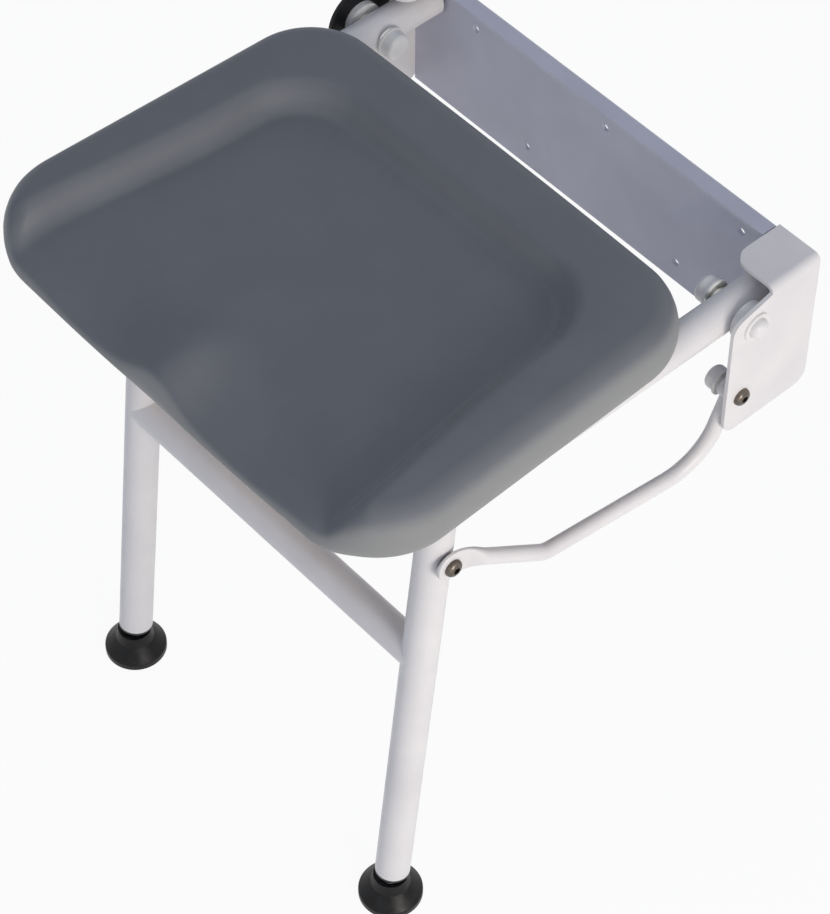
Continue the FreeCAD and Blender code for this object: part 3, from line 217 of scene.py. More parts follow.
def moulded_nylon(name, dark, pale, rough):
    """Injection-moulded nylon: an even satin skin with the fine pits of a spark-eroded mould."""
    material, tree, shader, place = new_surface(name, IOR=1.53)
    cloud = add_node(tree, "ShaderNodeTexNoise", {
        "Vector": place, "Scale": per_metre(9.0), "Detail": 3.0, "Roughness": 0.5})
    tone = add_node(tree, "ShaderNodeMix", {
        "Factor": cloud.outputs["Fac"], "A": linear(dark), "B": linear(pale)}, data_type="RGBA")
    tree.links.new(tone.outputs["Result"], shader.inputs["Base Color"])
    gloss = add_node(tree, "ShaderNodeMapRange", {
        "Value": cloud.outputs["Fac"], "From Min": 0.3, "From Max": 0.7,
        "To Min": rough - 0.05, "To Max": rough + 0.07})
    tree.links.new(gloss.outputs["Result"], shader.inputs["Roughness"])
    # spark erosion leaves pits of 0.1 to 0.3 mm; drawn at 0.8 mm so that they show
    pits = add_node(tree, "ShaderNodeTexNoise", {
        "Vector": place, "Scale": per_metre(0.8), "Detail": 2.0, "Roughness": 0.6})
    bump = add_node(tree, "ShaderNodeBump", {
        "Height": pits.outputs["Fac"], "Strength": 0.12, "Distance": 0.0001})
    tree.links.new(bump.outputs["Normal"], shader.inputs["Normal"])
    return material


def moulded_rubber():
    """Rubber pressed in a mould: near black, a soft shine on round edges, a dusty grey bloom."""
    material, tree, shader, place = new_surface("moulded_rubber", IOR=1.52, Specular_IOR_Level=0.2)
    bloom = add_node(tree, "ShaderNodeTexNoise", {
        "Vector": place, "Scale": per_metre(7.0), "Detail": 5.0, "Roughness": 0.6})
    dust = add_node(tree, "ShaderNodeMapRange", {
        "Value": bloom.outputs["Fac"], "From Min": 0.42, "From Max": 0.72})
    tone = add_node(tree, "ShaderNodeMix", {
        "Factor": dust.outputs["Result"], "A": linear("#0D0D0F"), "B": linear("#1E1F21")},
        data_type="RGBA")
    tree.links.new(tone.outputs["Result"], shader.inputs["Base Color"])
    gloss = add_node(tree, "ShaderNodeMapRange", {
        "Value": bloom.outputs["Fac"], "From Min": 0.3, "From Max": 0.7,
        "To Min": 0.30, "To Max": 0.52})
    tree.links.new(gloss.outputs["Result"], shader.inputs["Roughness"])
    skin = add_node(tree, "ShaderNodeTexNoise", {
        "Vector": place, "Scale": per_metre(1.0), "Detail": 3.0, "Roughness": 0.6})
    bump = add_node(tree, "ShaderNodeBump", {
        "Height": skin.outputs["Fac"], "Strength": 0.18, "Distance": 0.0002})
    tree.links.new(bump.outputs["Normal"], shader.inputs["Normal"])
    return material


def skinned_foam():
    """Polyurethane foam moulded with its own skin.

    The mould gives it a fine leather grain. The skin is satin rather than shiny, and slightly
    uneven in tone where the foam behind it is denser. The upright sides are painted paler
    and greyer than the seat: painted light, as from a lamp at the side.
    """
    look = bpy.context.scene.wall_seat_pad
    material, tree, shader, place = new_surface(
        "skinned_polyurethane_foam", IOR=1.48, Specular_IOR_Level=0.25)
    cloud = add_node(tree, "ShaderNodeTexNoise", {
        "Vector": place, "Scale": per_metre(48.0), "Detail": 4.0, "Roughness": 0.55})
    spread = add_node(tree, "ShaderNodeMapRange", {
        "Value": cloud.outputs["Fac"], "From Min": 0.32, "From Max": 0.68})
    tone = add_node(tree, "ShaderNodeMix", {
        "Factor": spread.outputs["Result"], "A": darker(look.colour, 0.90), "B": look.colour},
        data_type="RGBA")
    # painted light: the upright sides are painted paler and greyer than the seat
    facing = add_node(tree, "ShaderNodeSeparateXYZ", {"Vector": place.node.outputs["Normal"]})
    upright = add_node(tree, "ShaderNodeMapRange", {
        "Value": facing.outputs["Z"], "From Min": 0.70, "From Max": 0.26},
        interpolation_type="SMOOTHSTEP")
    skin = add_node(tree, "ShaderNodeMix", {
        "Factor": upright.outputs["Result"], "A": tone.outputs["Result"], "B": look.painted_light_side_colour},
        data_type="RGBA")
    tree.links.new(skin.outputs["Result"], shader.inputs["Base Color"])
    gloss = add_node(tree, "ShaderNodeMapRange", {
        "Value": cloud.outputs["Fac"], "From Min": 0.3, "From Max": 0.7,
        "To Min": 0.44, "To Max": 0.56})
    tree.links.new(gloss.outputs["Result"], shader.inputs["Roughness"])
    # leather grain about 1 mm across, with finer pores in it
    cells = add_node(tree, "ShaderNodeTexVoronoi", {
        "Vector": place, "Scale": per_metre(look.grain)}, feature="DISTANCE_TO_EDGE")
    pores = add_node(tree, "ShaderNodeTexNoise", {
        "Vector": place, "Scale": per_metre(0.9), "Detail": 3.0, "Roughness": 0.6})
    height = add_node(tree, "ShaderNodeMath", {
        0: cells.outputs["Distance"], 1: pores.outputs["Fac"]}, operation="ADD")
    bump = add_node(tree, "ShaderNodeBump", {
        "Height": height.outputs["Value"], "Strength": 0.14, "Distance": 0.0003})
    tree.links.new(bump.outputs["Normal"], shader.inputs["Normal"])
    return material


def birch_plywood():
    """Sanded birch plywood: pale, with long close grain across the seat."""
    material, tree, shader, place = new_surface("birch_plywood", Roughness=0.62)
    stretch = add_node(tree, "ShaderNodeMapping", {"Vector": place, "Scale": (1.0, 12.0, 12.0)})
    grain = add_node(tree, "ShaderNodeTexNoise", {
        "Vector": stretch.outputs["Vector"], "Scale": per_metre(45.0),
        "Detail": 6.0, "Roughness": 0.6})
    tone = add_node(tree, "ShaderNodeMix", {
        "Factor": grain.outputs["Fac"], "A": linear("#A98756"), "B": linear("#D2B487")},
        data_type="RGBA")
    tree.links.new(tone.outputs["Result"], shader.inputs["Base Color"])
    bump = add_node(tree, "ShaderNodeBump", {
        "Height": grain.outputs["Fac"], "Strength": 0.15, "Distance": 0.0003})
    tree.links.new(bump.outputs["Normal"], shader.inputs["Normal"])
    return material


def dress(material, *names):
    """Give a finish to CAD nodes."""
    for name in names:
        mesh = NODES[name].data
        if not NODES[name].material_slots:
            mesh.materials.append(material)
        for holder in NODES[name].material_slots:
            holder.material = material


# Mesh helpers
def middle(node):
    """The middle of a CAD node's box, in metres."""
    low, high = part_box(node)
    return (low + high) / 2


def on_side(point, side):
    """A point of the right-hand side (1), or its mirror image on the left (-1)."""
    return Vector((side * point.x, point.y, point.z))


def ease(t):
    """Smooth step from 0 to 1."""
    t = min(max(t, 0.0), 1.0)
    return t * t * (3 - 2 * t)


def new_piece(name, shape, material, body):
    """Turn a bmesh into a smooth-shaded object that rides on a body."""
    mesh = bpy.data.meshes.new(name)
    shape.normal_update()
    shape.to_mesh(mesh)
    shape.free()
    for face in mesh.polygons:
        face.use_smooth = True
    mesh.materials.append(material)
    piece = bpy.data.objects.new(name, mesh)
    bpy.context.scene.collection.objects.link(piece)
    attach(piece, body)
    return piece


def crease(piece, degrees):
    """Smooth shading that stops at edges sharper than an angle."""
    shape = bmesh.new()
    shape.from_mesh(piece.data)
    for edge in shape.edges:
        edge.smooth = edge.calc_face_angle(0.0) < math.radians(degrees)
    for face in shape.faces:
        face.smooth = True
    shape.to_mesh(piece.data)
    shape.free()


def skin_rings(shape, rings):
    """Faces between rings of points, and one over the first ring and one over the last."""
    count = len(rings[0])
    for here, there in zip(rings, rings[1:]):
        for k in range(count):
            after = (k + 1) % count
            shape.faces.new((here[k], here[after], there[after], there[k]))
    shape.faces.new(list(reversed(rings[0])))
    shape.faces.new(rings[-1])
    bmesh.ops.recalc_face_normals(shape, faces=shape.faces[:])


def helper(shape):
    """An object without a finish, for a fuse or a cut."""
    mesh = bpy.data.meshes.new("helper")
    shape.to_mesh(mesh)
    shape.free()
    thing = bpy.data.objects.new("helper", mesh)
    bpy.context.scene.collection.objects.link(thing)
    return thing


def join_shapes(piece, others, operation):
    """Fuse other objects with a piece, or cut them out of it, and remove them."""
    for other in others:
        step = piece.modifiers.new("join", "BOOLEAN")
        step.operation = operation
        step.solver = "EXACT"
        step.use_self = True
        step.object = other
    graph = bpy.context.evaluated_depsgraph_get()
    made = bpy.data.meshes.new_from_object(piece.evaluated_get(graph))
    piece.modifiers.clear()
    old = piece.data
    piece.data = made
    bpy.data.meshes.remove(old)
    for other in others:
        bpy.data.objects.remove(other)


def cross_pin(centre, radius, length):
    """A round bar across the seat, as a helper."""
    shape = bmesh.new()
    across = Matrix.Translation(centre) @ Matrix.Rotation(math.pi / 2, 4, "Y")
    bmesh.ops.create_cone(shape, cap_ends=True, segments=64, radius1=radius, radius2=radius,
                          depth=length, matrix=across)
    return helper(shape)


def cut_boxes(piece, boxes):
    """Cut boxes, given by their corners in metres, out of a piece."""
    shape = bmesh.new()
    for low, high in boxes:
        made = bmesh.ops.create_cube(shape, size=1.0)
        for vert in made["verts"]:
            vert.co = Vector([low[i] + (high[i] - low[i]) * (vert.co[i] + 0.5) for i in range(3)])
    join_shapes(piece, [helper(shape)], "DIFFERENCE")


# Welds
BEAD_SIDES = 10
BEAD_STEPS = 72
BEAD_SUNK = 0.6  # share of the bead's radius that lies inside the tubes
BEAD_FADE = 1.6  # extra depth, in the same shares, where two round surfaces run together
BEAD_RIPPLE = 0.10  # share of the radius that the bead swells and shrinks by
RIPPLE_TURN = 2.1  # radians of ripple from one step to the next
LUMP_SIZE = 0.5  # how much uneven lumps add to the ripple
LUMPS = 900  # to the metre


def bead(shape, path, radius):
    """Add a round bead that follows a closed path, with the ripples that a weld has."""
    count = len(path)
    rings = []
    across = None
    for k, point in enumerate(path):
        along = (path[(k + 1) % count] - path[k - 1]).normalized()
        if across is None:
            across = along.orthogonal().normalized()
        else:
            across = (across - along * across.dot(along)).normalized()
        up = along.cross(across)
        swell = math.sin(k * RIPPLE_TURN) + LUMP_SIZE * noise(point * LUMPS)
        size = radius * (1.0 + BEAD_RIPPLE * swell)
        ring = []
        for j in range(BEAD_SIDES):
            angle = 2 * math.pi * j / BEAD_SIDES
            spoke = math.cos(angle) * across + math.sin(angle) * up
            ring.append(shape.verts.new(point + size * spoke))
        rings.append(ring)
    for k, here in enumerate(rings):
        there = rings[(k + 1) % count]
        shift = 0
        if k == count - 1:
            # the last ring joins the first with as little twist as it can
            gaps = [(vert.co - here[0].co).length for vert in there]
            shift = gaps.index(min(gaps))
        for j in range(BEAD_SIDES):
            after = (j + 1) % BEAD_SIDES
            shape.faces.new((here[j], here[after], there[(after + shift) % BEAD_SIDES],
                             there[(j + shift) % BEAD_SIDES]))


def tube_joint_path(centre, tube_along, inward, tube_radius, bead_radius):
    """Where a rail meets a tube of the same size: it lies along inward from the tube's middle.

    The path runs a little inside both round surfaces, so that only the bead's crown stands out,
    and fades out where the two surfaces run into each other.
    """
    third = tube_along.cross(inward)
    points = []
    for k in range(BEAD_STEPS):
        turn = 2 * math.pi * k / BEAD_STEPS
        sunk = BEAD_SUNK * bead_radius * (1 + BEAD_FADE * math.cos(turn) ** 4)
        level = (tube_radius - sunk) * math.cos(turn)
        rise = (tube_radius - sunk) * math.sin(turn)
        points.append(centre + third * level + tube_along * rise + inward * abs(rise))
    return points


# Struts
FIRST_BEND_STEPS = 18
SECOND_BEND_STEPS = 10
FLAT_STEPS = 16
TIP_STEPS = 12
BAR_SIDES = 28
FLAT_PULL = 0.38  # reach of the handles of the flat's curve, as a share of its length
EYE_SLOPE = 0.05  # rise of that curve where it meets the eye, for a run of 1
FLAT_PACE = 1.6  # how much sooner the flat gets thin than wide
FLAT_SQUARE = 0.62  # how far a flat section is from an oval
TIP_WIDTH = 0.3  # half width, in millimetres, that closes the eye's tip


def smooth_bend(before, corner, after, inner, steps):
    """Points on the arc that rounds a corner of a path with an inner radius."""
    back = (before - corner).normalized()
    ahead = (after - corner).normalized()
    half = back.angle(ahead) / 2
    centre = corner + (back + ahead).normalized() * inner / math.sin(half)
    start = corner + back * inner / math.tan(half) - centre
    end = corner + ahead * inner / math.tan(half) - centre
    return [centre + start.slerp(end, k / steps).normalized() * inner for k in range(steps + 1)]


def strut_pivots(strut):
    """The middles of the right-hand strut's rear and front eyes, in millimetres."""
    low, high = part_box("strut_right")
    rear = middle("strut_rear_washers") / MM
    rear.x = high.x / MM - strut.bar / 2
    front = middle("strut_front_spacers") / MM
    front.x = low.x / MM + strut.eye_thick / 2
    return rear, front


def strut_sections(strut, rear, eye):
    """Sections of the right-hand strut: middle, direction, half width, half thickness.

    All in millimetres, from the cheek to the leg. The bar is round, bent twice in one upright
    plane, and hammered flat at the leg, where it widens into an eye below the bar's own line.
    """
    bar_half = strut.bar / 2
    flat_half = strut.eye_thick / 2
    eye_half = strut.eye_width / 2
    reach = rear.y - eye.y
    slant = (rear.x - eye.x - (bar_half - flat_half)) / reach

    def on_plane(forward, up):
        """A point of the bar's upright plane, seen from the rear pivot."""
        return rear + Vector((-slant * forward, -forward, up))

    first = on_plane(strut.lead, -strut.drop)
    second = on_plane(strut.lead + strut.run, -strut.drop)
    end = on_plane(reach, strut.eye_lift + eye.z - rear.z)
    along = (end - second).normalized()
    neck = end - along * strut.flat
    line = [rear, *smooth_bend(rear, first, second, strut.bend, FIRST_BEND_STEPS),
            *smooth_bend(first, second, end, strut.kink, SECOND_BEND_STEPS), neck]
    sections = []
    for k, point in enumerate(line):
        before = line[max(k - 1, 0)]
        after = line[min(k + 1, len(line) - 1)]
        sections.append((point, (after - before).normalized(), bar_half, bar_half))
    # the flattened end follows a curve from the bar's line down to the pivot
    pull = strut.flat * FLAT_PULL
    lead_out = neck + along * pull
    lead_in = eye + Vector((0, 1, EYE_SLOPE)) * pull
    for k in range(1, FLAT_STEPS + 1):
        t = k / FLAT_STEPS
        point = ((1 - t) ** 3 * neck + 3 * (1 - t) ** 2 * t * lead_out
                 + 3 * (1 - t) * t ** 2 * lead_in + t ** 3 * eye)
        course = ((1 - t) ** 2 * (lead_out - neck) + 2 * (1 - t) * t * (lead_in - lead_out)
                  + t ** 2 * (eye - lead_in)).normalized()
        wide = bar_half + (eye_half - bar_half) * ease(t)
        thick = bar_half + (flat_half - bar_half) * ease(t * FLAT_PACE)
        sections.append((point, course, wide, thick))
    level = Vector((0, course.y, course.z)).normalized()
    for k in range(1, TIP_STEPS + 1):
        turn = math.pi / 2 * k / TIP_STEPS
        tip = eye + level * eye_half * math.sin(turn)
        sections.append((tip, level, max(eye_half * math.cos(turn), TIP_WIDTH), flat_half))
    return sections


def strut_shape(sections, side):
    """The bar and its flattened eye as one closed mesh, on the right (1) or the left (-1)."""
    shape = bmesh.new()
    rings = []
    across = Vector((1, 0, 0))
    for centre, course, wide, thick in sections:
        centre = on_side(centre, side)
        course = on_side(course, side)
        thin = (across - course * across.dot(course)).normalized()
        broad = course.cross(thin)
        # a flat section has nearly straight faces and round edges
        square = 1.0 - FLAT_SQUARE * (1.0 - min(thick / wide, 1.0))
        ring = []
        for j in range(BAR_SIDES):
            angle = 2 * math.pi * j / BAR_SIDES
            level, rise = math.cos(angle), math.sin(angle)
            level = math.copysign(abs(level) ** square, level)
            rise = math.copysign(abs(rise) ** square, rise)
            ring.append(shape.verts.new((centre + broad * wide * level + thin * thick * rise) * MM))
        rings.append(ring)
    skin_rings(shape, rings)
    return shape


# Pad: shares, and sizes in millimetres
CROWN_CORNER = 62.0  # plan radius that the crown follows round the back corners
WALL_RUN = 0.6  # share of the depth over which the wall goes from its front to its back inset
HOLLOW = 2.0  # how much deeper the middle of the sunken seat is than its edge
HOLLOW_REACH = 110.0
FRONT_START = 0.22  # share of the depth, forward of the middle, where channels and pommel begin
POMMEL_X = -6.0
POMMEL_WIDTH = 28.0
CHANNEL_DEPTH = 3.0
CHANNEL_X = 90.0
CHANNEL_WIDTH = 38.0
ROLL_LENGTH = 46.0  # how far behind the front edge the seat starts to roll down
ROLL_POWER = 2.2
ROLL_OUTSIDE = 0.35  # share of the roll that the rim beside the sunken seat has
ARC_STEPS = 40
EDGE_STEPS = 24
PLAN_POINTS = 320
# from the underside up: how far the side is drawn in, and the share of the local height
SIDE_PROFILE = (
    (13.0, 0.0), (8.4, 0.0), (6.4, 0.006), (4.4, 0.03), (2.8, 0.075), (1.6, 0.135), (0.6, 0.22),
    (0.0, 0.33), (0.2, 0.45), (1.1, 0.56), (2.7, 0.68), (4.8, 0.785), (7.4, 0.87),
    (10.6, 0.935), (14.2, 0.977), (18.0, 1.0))
RIM_INSET = SIDE_PROFILE[-1][0]
FRONT_TIGHTER = 0.45  # how much less the rim is drawn in where it faces forward
FRONT_FACING = 0.80  # forward part of the edge's direction at which that begins
FRONT_BLEND = 0.18  # and how much more of it until that is complete
SEAT_RINGS = 58
RING_PACE = 1.15  # above 1 the rings are closer together at the rim
LAST_RING = 0.995  # the rings end just short of the line in the middle, so that none collapses
SPINE_SHORT = 8.0  # how much shorter that line's half is than the pad's width less its depth


def pad_span(y, pad):
    """Share of the depth from front to back at a place, and half the pad's width there."""
    share = (y + pad.depth / 2) / pad.depth
    return share, (pad.front_width * (1 - share) + pad.back_width * share) / 2


def inside_corner(from_side, from_back, radius):
    """Distance inside an edge that runs along a side, round a corner and along the back."""
    if from_side < radius and from_back < radius:
        return radius - math.hypot(radius - from_side, radius - from_back)
    return min(from_side, from_back)


def pad_top(x, y, pad):
    """Height of the seat's surface above the pad's underside, in millimetres.

    A crowned rim runs round the sides and back. Inside it the seat is sunken: its wall stands
    nearer the edge at the front than at the back, and turns the back corners in a wide curve.
    The front is open and rolls down, with a low pommel between two thigh channels.
    """
    share, half = pad_span(y, pad)
    from_edge = inside_corner(half - abs(x), pad.depth / 2 + pad.bow * (1 - (x / half) ** 2) - y,
                              CROWN_CORNER)
    wall_inset = pad.wall_front + (pad.wall_back - pad.wall_front) * ease(share / WALL_RUN)
    from_wall = inside_corner(half - abs(x) - wall_inset, pad.depth / 2 - y - pad.wall_back,
                              pad.wall_corner)
    wall = ease(0.5 + from_wall / pad.wall)
    z = pad.thick - pad.crown * (1 - ease(from_edge / pad.wall_front)) - pad.dish * wall
    z -= HOLLOW * ease(from_wall / HOLLOW_REACH)
    front = ease((-y - pad.depth * FRONT_START) / (pad.depth * FRONT_START))
    z += pad.pommel * front * math.exp(-((x - POMMEL_X) / POMMEL_WIDTH) ** 2) * wall
    z -= CHANNEL_DEPTH * front * math.exp(-((abs(x) - CHANNEL_X) / CHANNEL_WIDTH) ** 2) * wall
    roll = min(max(1 - (pad.depth / 2 + y) / ROLL_LENGTH, 0.0), 1.0) ** ROLL_POWER
    return z - pad.front_fall * roll * (ROLL_OUTSIDE + (1 - ROLL_OUTSIDE) * wall)


def pad_plan(count, pad):
    """The pad's outline: points and outward directions, evenly round, in millimetres."""
    front, back, half_depth = pad.front_width / 2, pad.back_width / 2, pad.depth / 2
    corners = [Vector((-front, -half_depth)), Vector((front, -half_depth)),
               Vector((back, half_depth)), Vector((-back, half_depth))]
    radii = [pad.front_corner, pad.front_corner, pad.back_corner, pad.back_corner]
    raw = []
    for k in range(4):
        here = corners[k]
        there = corners[(k + 1) % 4]
        behind = (corners[k - 1] - here).normalized()
        ahead = (there - here).normalized()
        half = behind.angle(ahead) / 2
        centre = here + (behind + ahead).normalized() * radii[k] / math.sin(half)
        start = here + behind * radii[k] / math.tan(half) - centre
        end = here + ahead * radii[k] / math.tan(half)
        first = math.atan2(start.y, start.x)
        last = math.atan2(end.y - centre.y, end.x - centre.x)
        if last < first:
            last += 2 * math.pi
        for j in range(ARC_STEPS + 1):
            angle = first + (last - first) * j / ARC_STEPS
            raw.append(centre + radii[k] * Vector((math.cos(angle), math.sin(angle))))
        # the straight edge to where the next corner starts
        turn = ahead.angle((corners[(k + 2) % 4] - there).normalized())
        stop = there - ahead * radii[(k + 1) % 4] / math.tan((math.pi - turn) / 2)
        raw.extend(end.lerp(stop, j / EDGE_STEPS) for j in range(1, EDGE_STEPS))
    for point in raw:
        point.y *= 1 + pad.bow / half_depth * (1 - (point.x / front) ** 2)
    raw.append(raw[0].copy())
    lengths = [0.0]
    for here, there in zip(raw, raw[1:]):
        lengths.append(lengths[-1] + (there - here).length)
    points = []
    at = 0
    for k in range(count):
        goal = lengths[-1] * k / count
        while lengths[at + 1] < goal:
            at += 1
        share = (goal - lengths[at]) / (lengths[at + 1] - lengths[at])
        points.append(raw[at].lerp(raw[at + 1], share))
    plan = []
    for k, point in enumerate(points):
        along = (points[(k + 1) % count] - points[k - 1]).normalized()
        plan.append((point, Vector((along.y, -along.x))))
    return plan


def pad_shape(pad, origin):
    """The moulded pad as a closed mesh: underside, side, rounded rim, and the seat inside it."""
    spine = (pad.front_width - pad.depth) / 2 - SPINE_SHORT
    rows = []
    for point, outward in pad_plan(PLAN_POINTS, pad):
        share = 1 - FRONT_TIGHTER * ease((-outward.y - FRONT_FACING) / FRONT_BLEND)
        foot = point - outward * RIM_INSET * share
        rows.append((point, outward, share, foot))
    shape = bmesh.new()
    rings = []
    for inset, height in SIDE_PROFILE:
        ring = []
        for point, outward, share, foot in rows:
            spot = point - outward * inset * share
            z = pad.lift + (pad_top(foot.x, foot.y, pad) - pad.lift) * height
            ring.append(shape.verts.new(origin + Vector((spot.x, spot.y, z)) * MM))
        rings.append(ring)
    for k in range(1, SEAT_RINGS + 1):
        inward = min((k / SEAT_RINGS) ** RING_PACE, LAST_RING)
        ring = []
        for point, outward, share, foot in rows:
            goal = Vector((min(max(point.x, -spine), spine), 0.0))
            spot = foot.lerp(goal, inward)
            z = pad_top(spot.x, spot.y, pad)
            ring.append(shape.verts.new(origin + Vector((spot.x, spot.y, z)) * MM))
        rings.append(ring)
    skin_rings(shape, rings)
    return shape


# Settings
class WallSeatPad(bpy.types.PropertyGroup):
    """Sizes and colour of the moulded pad."""
    colour: FloatVectorProperty(name="Colour", description="Colour of the foam's skin",
                                subtype="COLOR", size=4, min=0.0, max=1.0,
                                default=linear("#717479"))
    # painted light: the sides' paler colour is painted light from the side, not the skin's own
    painted_light_side_colour: FloatVectorProperty(name="Side colour", description="Colour of the sides' skin",
                                     subtype="COLOR", size=4, min=0.0, max=1.0,
                                     default=linear("#8C8D8C"))
    grain: FloatProperty(name="Grain", description="Size of the leather grain, in millimetres",
                         default=1.1, min=0.3, max=5.0)
    front_width: FloatProperty(name="Front width", description="Width at the front, in millimetres",
                               default=430.0)
    back_width: FloatProperty(name="Back width", description="Width at the back, in millimetres",
                              default=409.0)
    depth: FloatProperty(name="Depth", description="Front to back without the bow, in millimetres",
                         default=316.0)
    bow: FloatProperty(name="Bow", description="How far the front and back edges bow out, "
                       "in millimetres", default=3.0)
    thick: FloatProperty(name="Thickness", description="Underside to rim, in millimetres",
                         default=46.0)
    lift: FloatProperty(name="Lift", description="How far the sides end above the underside, "
                        "in millimetres", default=3.5)
    front_corner: FloatProperty(name="Front corner", description="Corner radius in plan, "
                                "in millimetres", default=63.0)
    back_corner: FloatProperty(name="Back corner", description="Corner radius in plan, "
                               "in millimetres", default=58.0)
    crown: FloatProperty(name="Crown", description="How far the rim's outer side drops from "
                         "its crest, in millimetres", default=2.5)
    wall: FloatProperty(name="Dish wall", description="Width of the wall round the sunken seat, "
                        "in millimetres", default=21.0)
    wall_front: FloatProperty(name="Wall inset at front", description="Edge to the middle of the "
                              "dish wall at the front, in millimetres", default=43.0)
    wall_back: FloatProperty(name="Wall inset at back", description="Edge to the middle of the "
                             "dish wall at the back, in millimetres", default=56.0)
    wall_corner: FloatProperty(name="Dish corner", description="Plan radius of the dish's back "
                               "corners, in millimetres", default=50.0)
    dish: FloatProperty(name="Dish", description="Depth of the sunken seat, in millimetres",
                        default=19.0)
    pommel: FloatProperty(name="Pommel", description="Rise between the thigh channels, "
                          "in millimetres", default=16.0)
    front_fall: FloatProperty(name="Front fall", description="How far the front edge rolls down, "
                              "in millimetres", default=9.0)


class WallSeatStrut(bpy.types.PropertyGroup):
    """Sizes of the bent struts, in millimetres; their pivots come from the frame."""
    bar: FloatProperty(name="Bar", description="Diameter of the round bar", default=12.0)
    lead: FloatProperty(name="Lead", description="Rear pivot forward to first bend", default=23.0)
    drop: FloatProperty(name="Drop", description="Rear pivot down to the level run", default=63.0)
    run: FloatProperty(name="Run", description="First bend to the second", default=140.0)
    bend: FloatProperty(name="First bend", description="Radius of the first bend", default=46.0)
    kink: FloatProperty(name="Second bend", description="Radius of the second bend", default=18.0)
    rear_eye: FloatProperty(name="Rear eye", description="Diameter of the cross eye", default=17.0)
    eye_width: FloatProperty(name="Eye", description="Width of the flat eye", default=24.0)
    eye_thick: FloatProperty(name="Eye thickness", description="Thickness there", default=4.0)
    eye_lift: FloatProperty(name="Eye lift", description="Pivot up to the bar's line", default=12.0)
    flat: FloatProperty(name="Flat", description="Length that is hammered flat", default=34.0)
    bush: FloatProperty(name="Bush", description="Diameter of the bush in each eye", default=11.1)


class WallSeatCoat(bpy.types.PropertyGroup):
    """Colour and ripple of the powder coat, and the size of the welds under it."""
    colour: FloatVectorProperty(name="Colour", description="Colour of the powder coat",
                                subtype="COLOR", size=4, min=0.0, max=1.0,
                                default=linear("#E6E3E1"))
    # painted shade: the plate is the same white coat, painted darker and bluer as its shade
    plate_painted_shade_colour: FloatVectorProperty(name="Plate colour", description="Colour of the wall plate",
                                      subtype="COLOR", size=4, min=0.0, max=1.0,
                                      default=linear("#BDBECC"))
    ripple: FloatProperty(name="Ripple", description="Spacing of the coat's ripple, in millimetres",
                          default=2.6, min=0.5, max=10.0)
    weld: FloatProperty(name="Weld", description="Radius of a weld bead, in millimetres",
                        default=1.5, min=0.5, max=4.0)


class WallSeatStage(bpy.types.PropertyGroup):
    """Floor and lights."""
    floor: FloatVectorProperty(name="Floor", description="Colour of the floor", subtype="COLOR",
                               size=4, min=0.0, max=1.0, default=linear("#F7F7F7"))
    key: FloatProperty(name="Key lamp", description="Power of the lamp on the right", unit="POWER",
                       default=40.0, min=0.0)
    fill: FloatProperty(name="Surround", description="Strength of the even light all round",
                        default=0.52, min=0.0)


# Stage: places and sizes in metres, angles in degrees
CAMERA_PLACE = (1.1859, -1.2547, 1.7286)
CAMERA_TURN = 47.995  # to the left of straight at the wall
CAMERA_DOWN = 50.3  # below level
CAMERA_ROLL = 0.369
CAMERA_FAR = 50.0
LENS = 130.29  # millimetres, as the sensor is
SENSOR = 36.0
LAMP_PLACE = (2.62, -0.70, 0.66)
LAMP_TARGET = (0.0, -0.2, 0.0)
LAMP_SIZE = 1.3
LAMP_TINT = "#FFF8EF"
FLOOR_HALF = 14.0  # from its middle to its edge
FLOOR_DROP = 0.4 * MM  # keeps the floor clear of the feet
FLOOR_ROUGH = 0.9
FLOOR_GLOW = 0.93  # share of plain white in what the camera sees; the rest is the lit floor
SURROUND_TINT = "#DFE7FA"
SURROUND_SEEN = 0.98


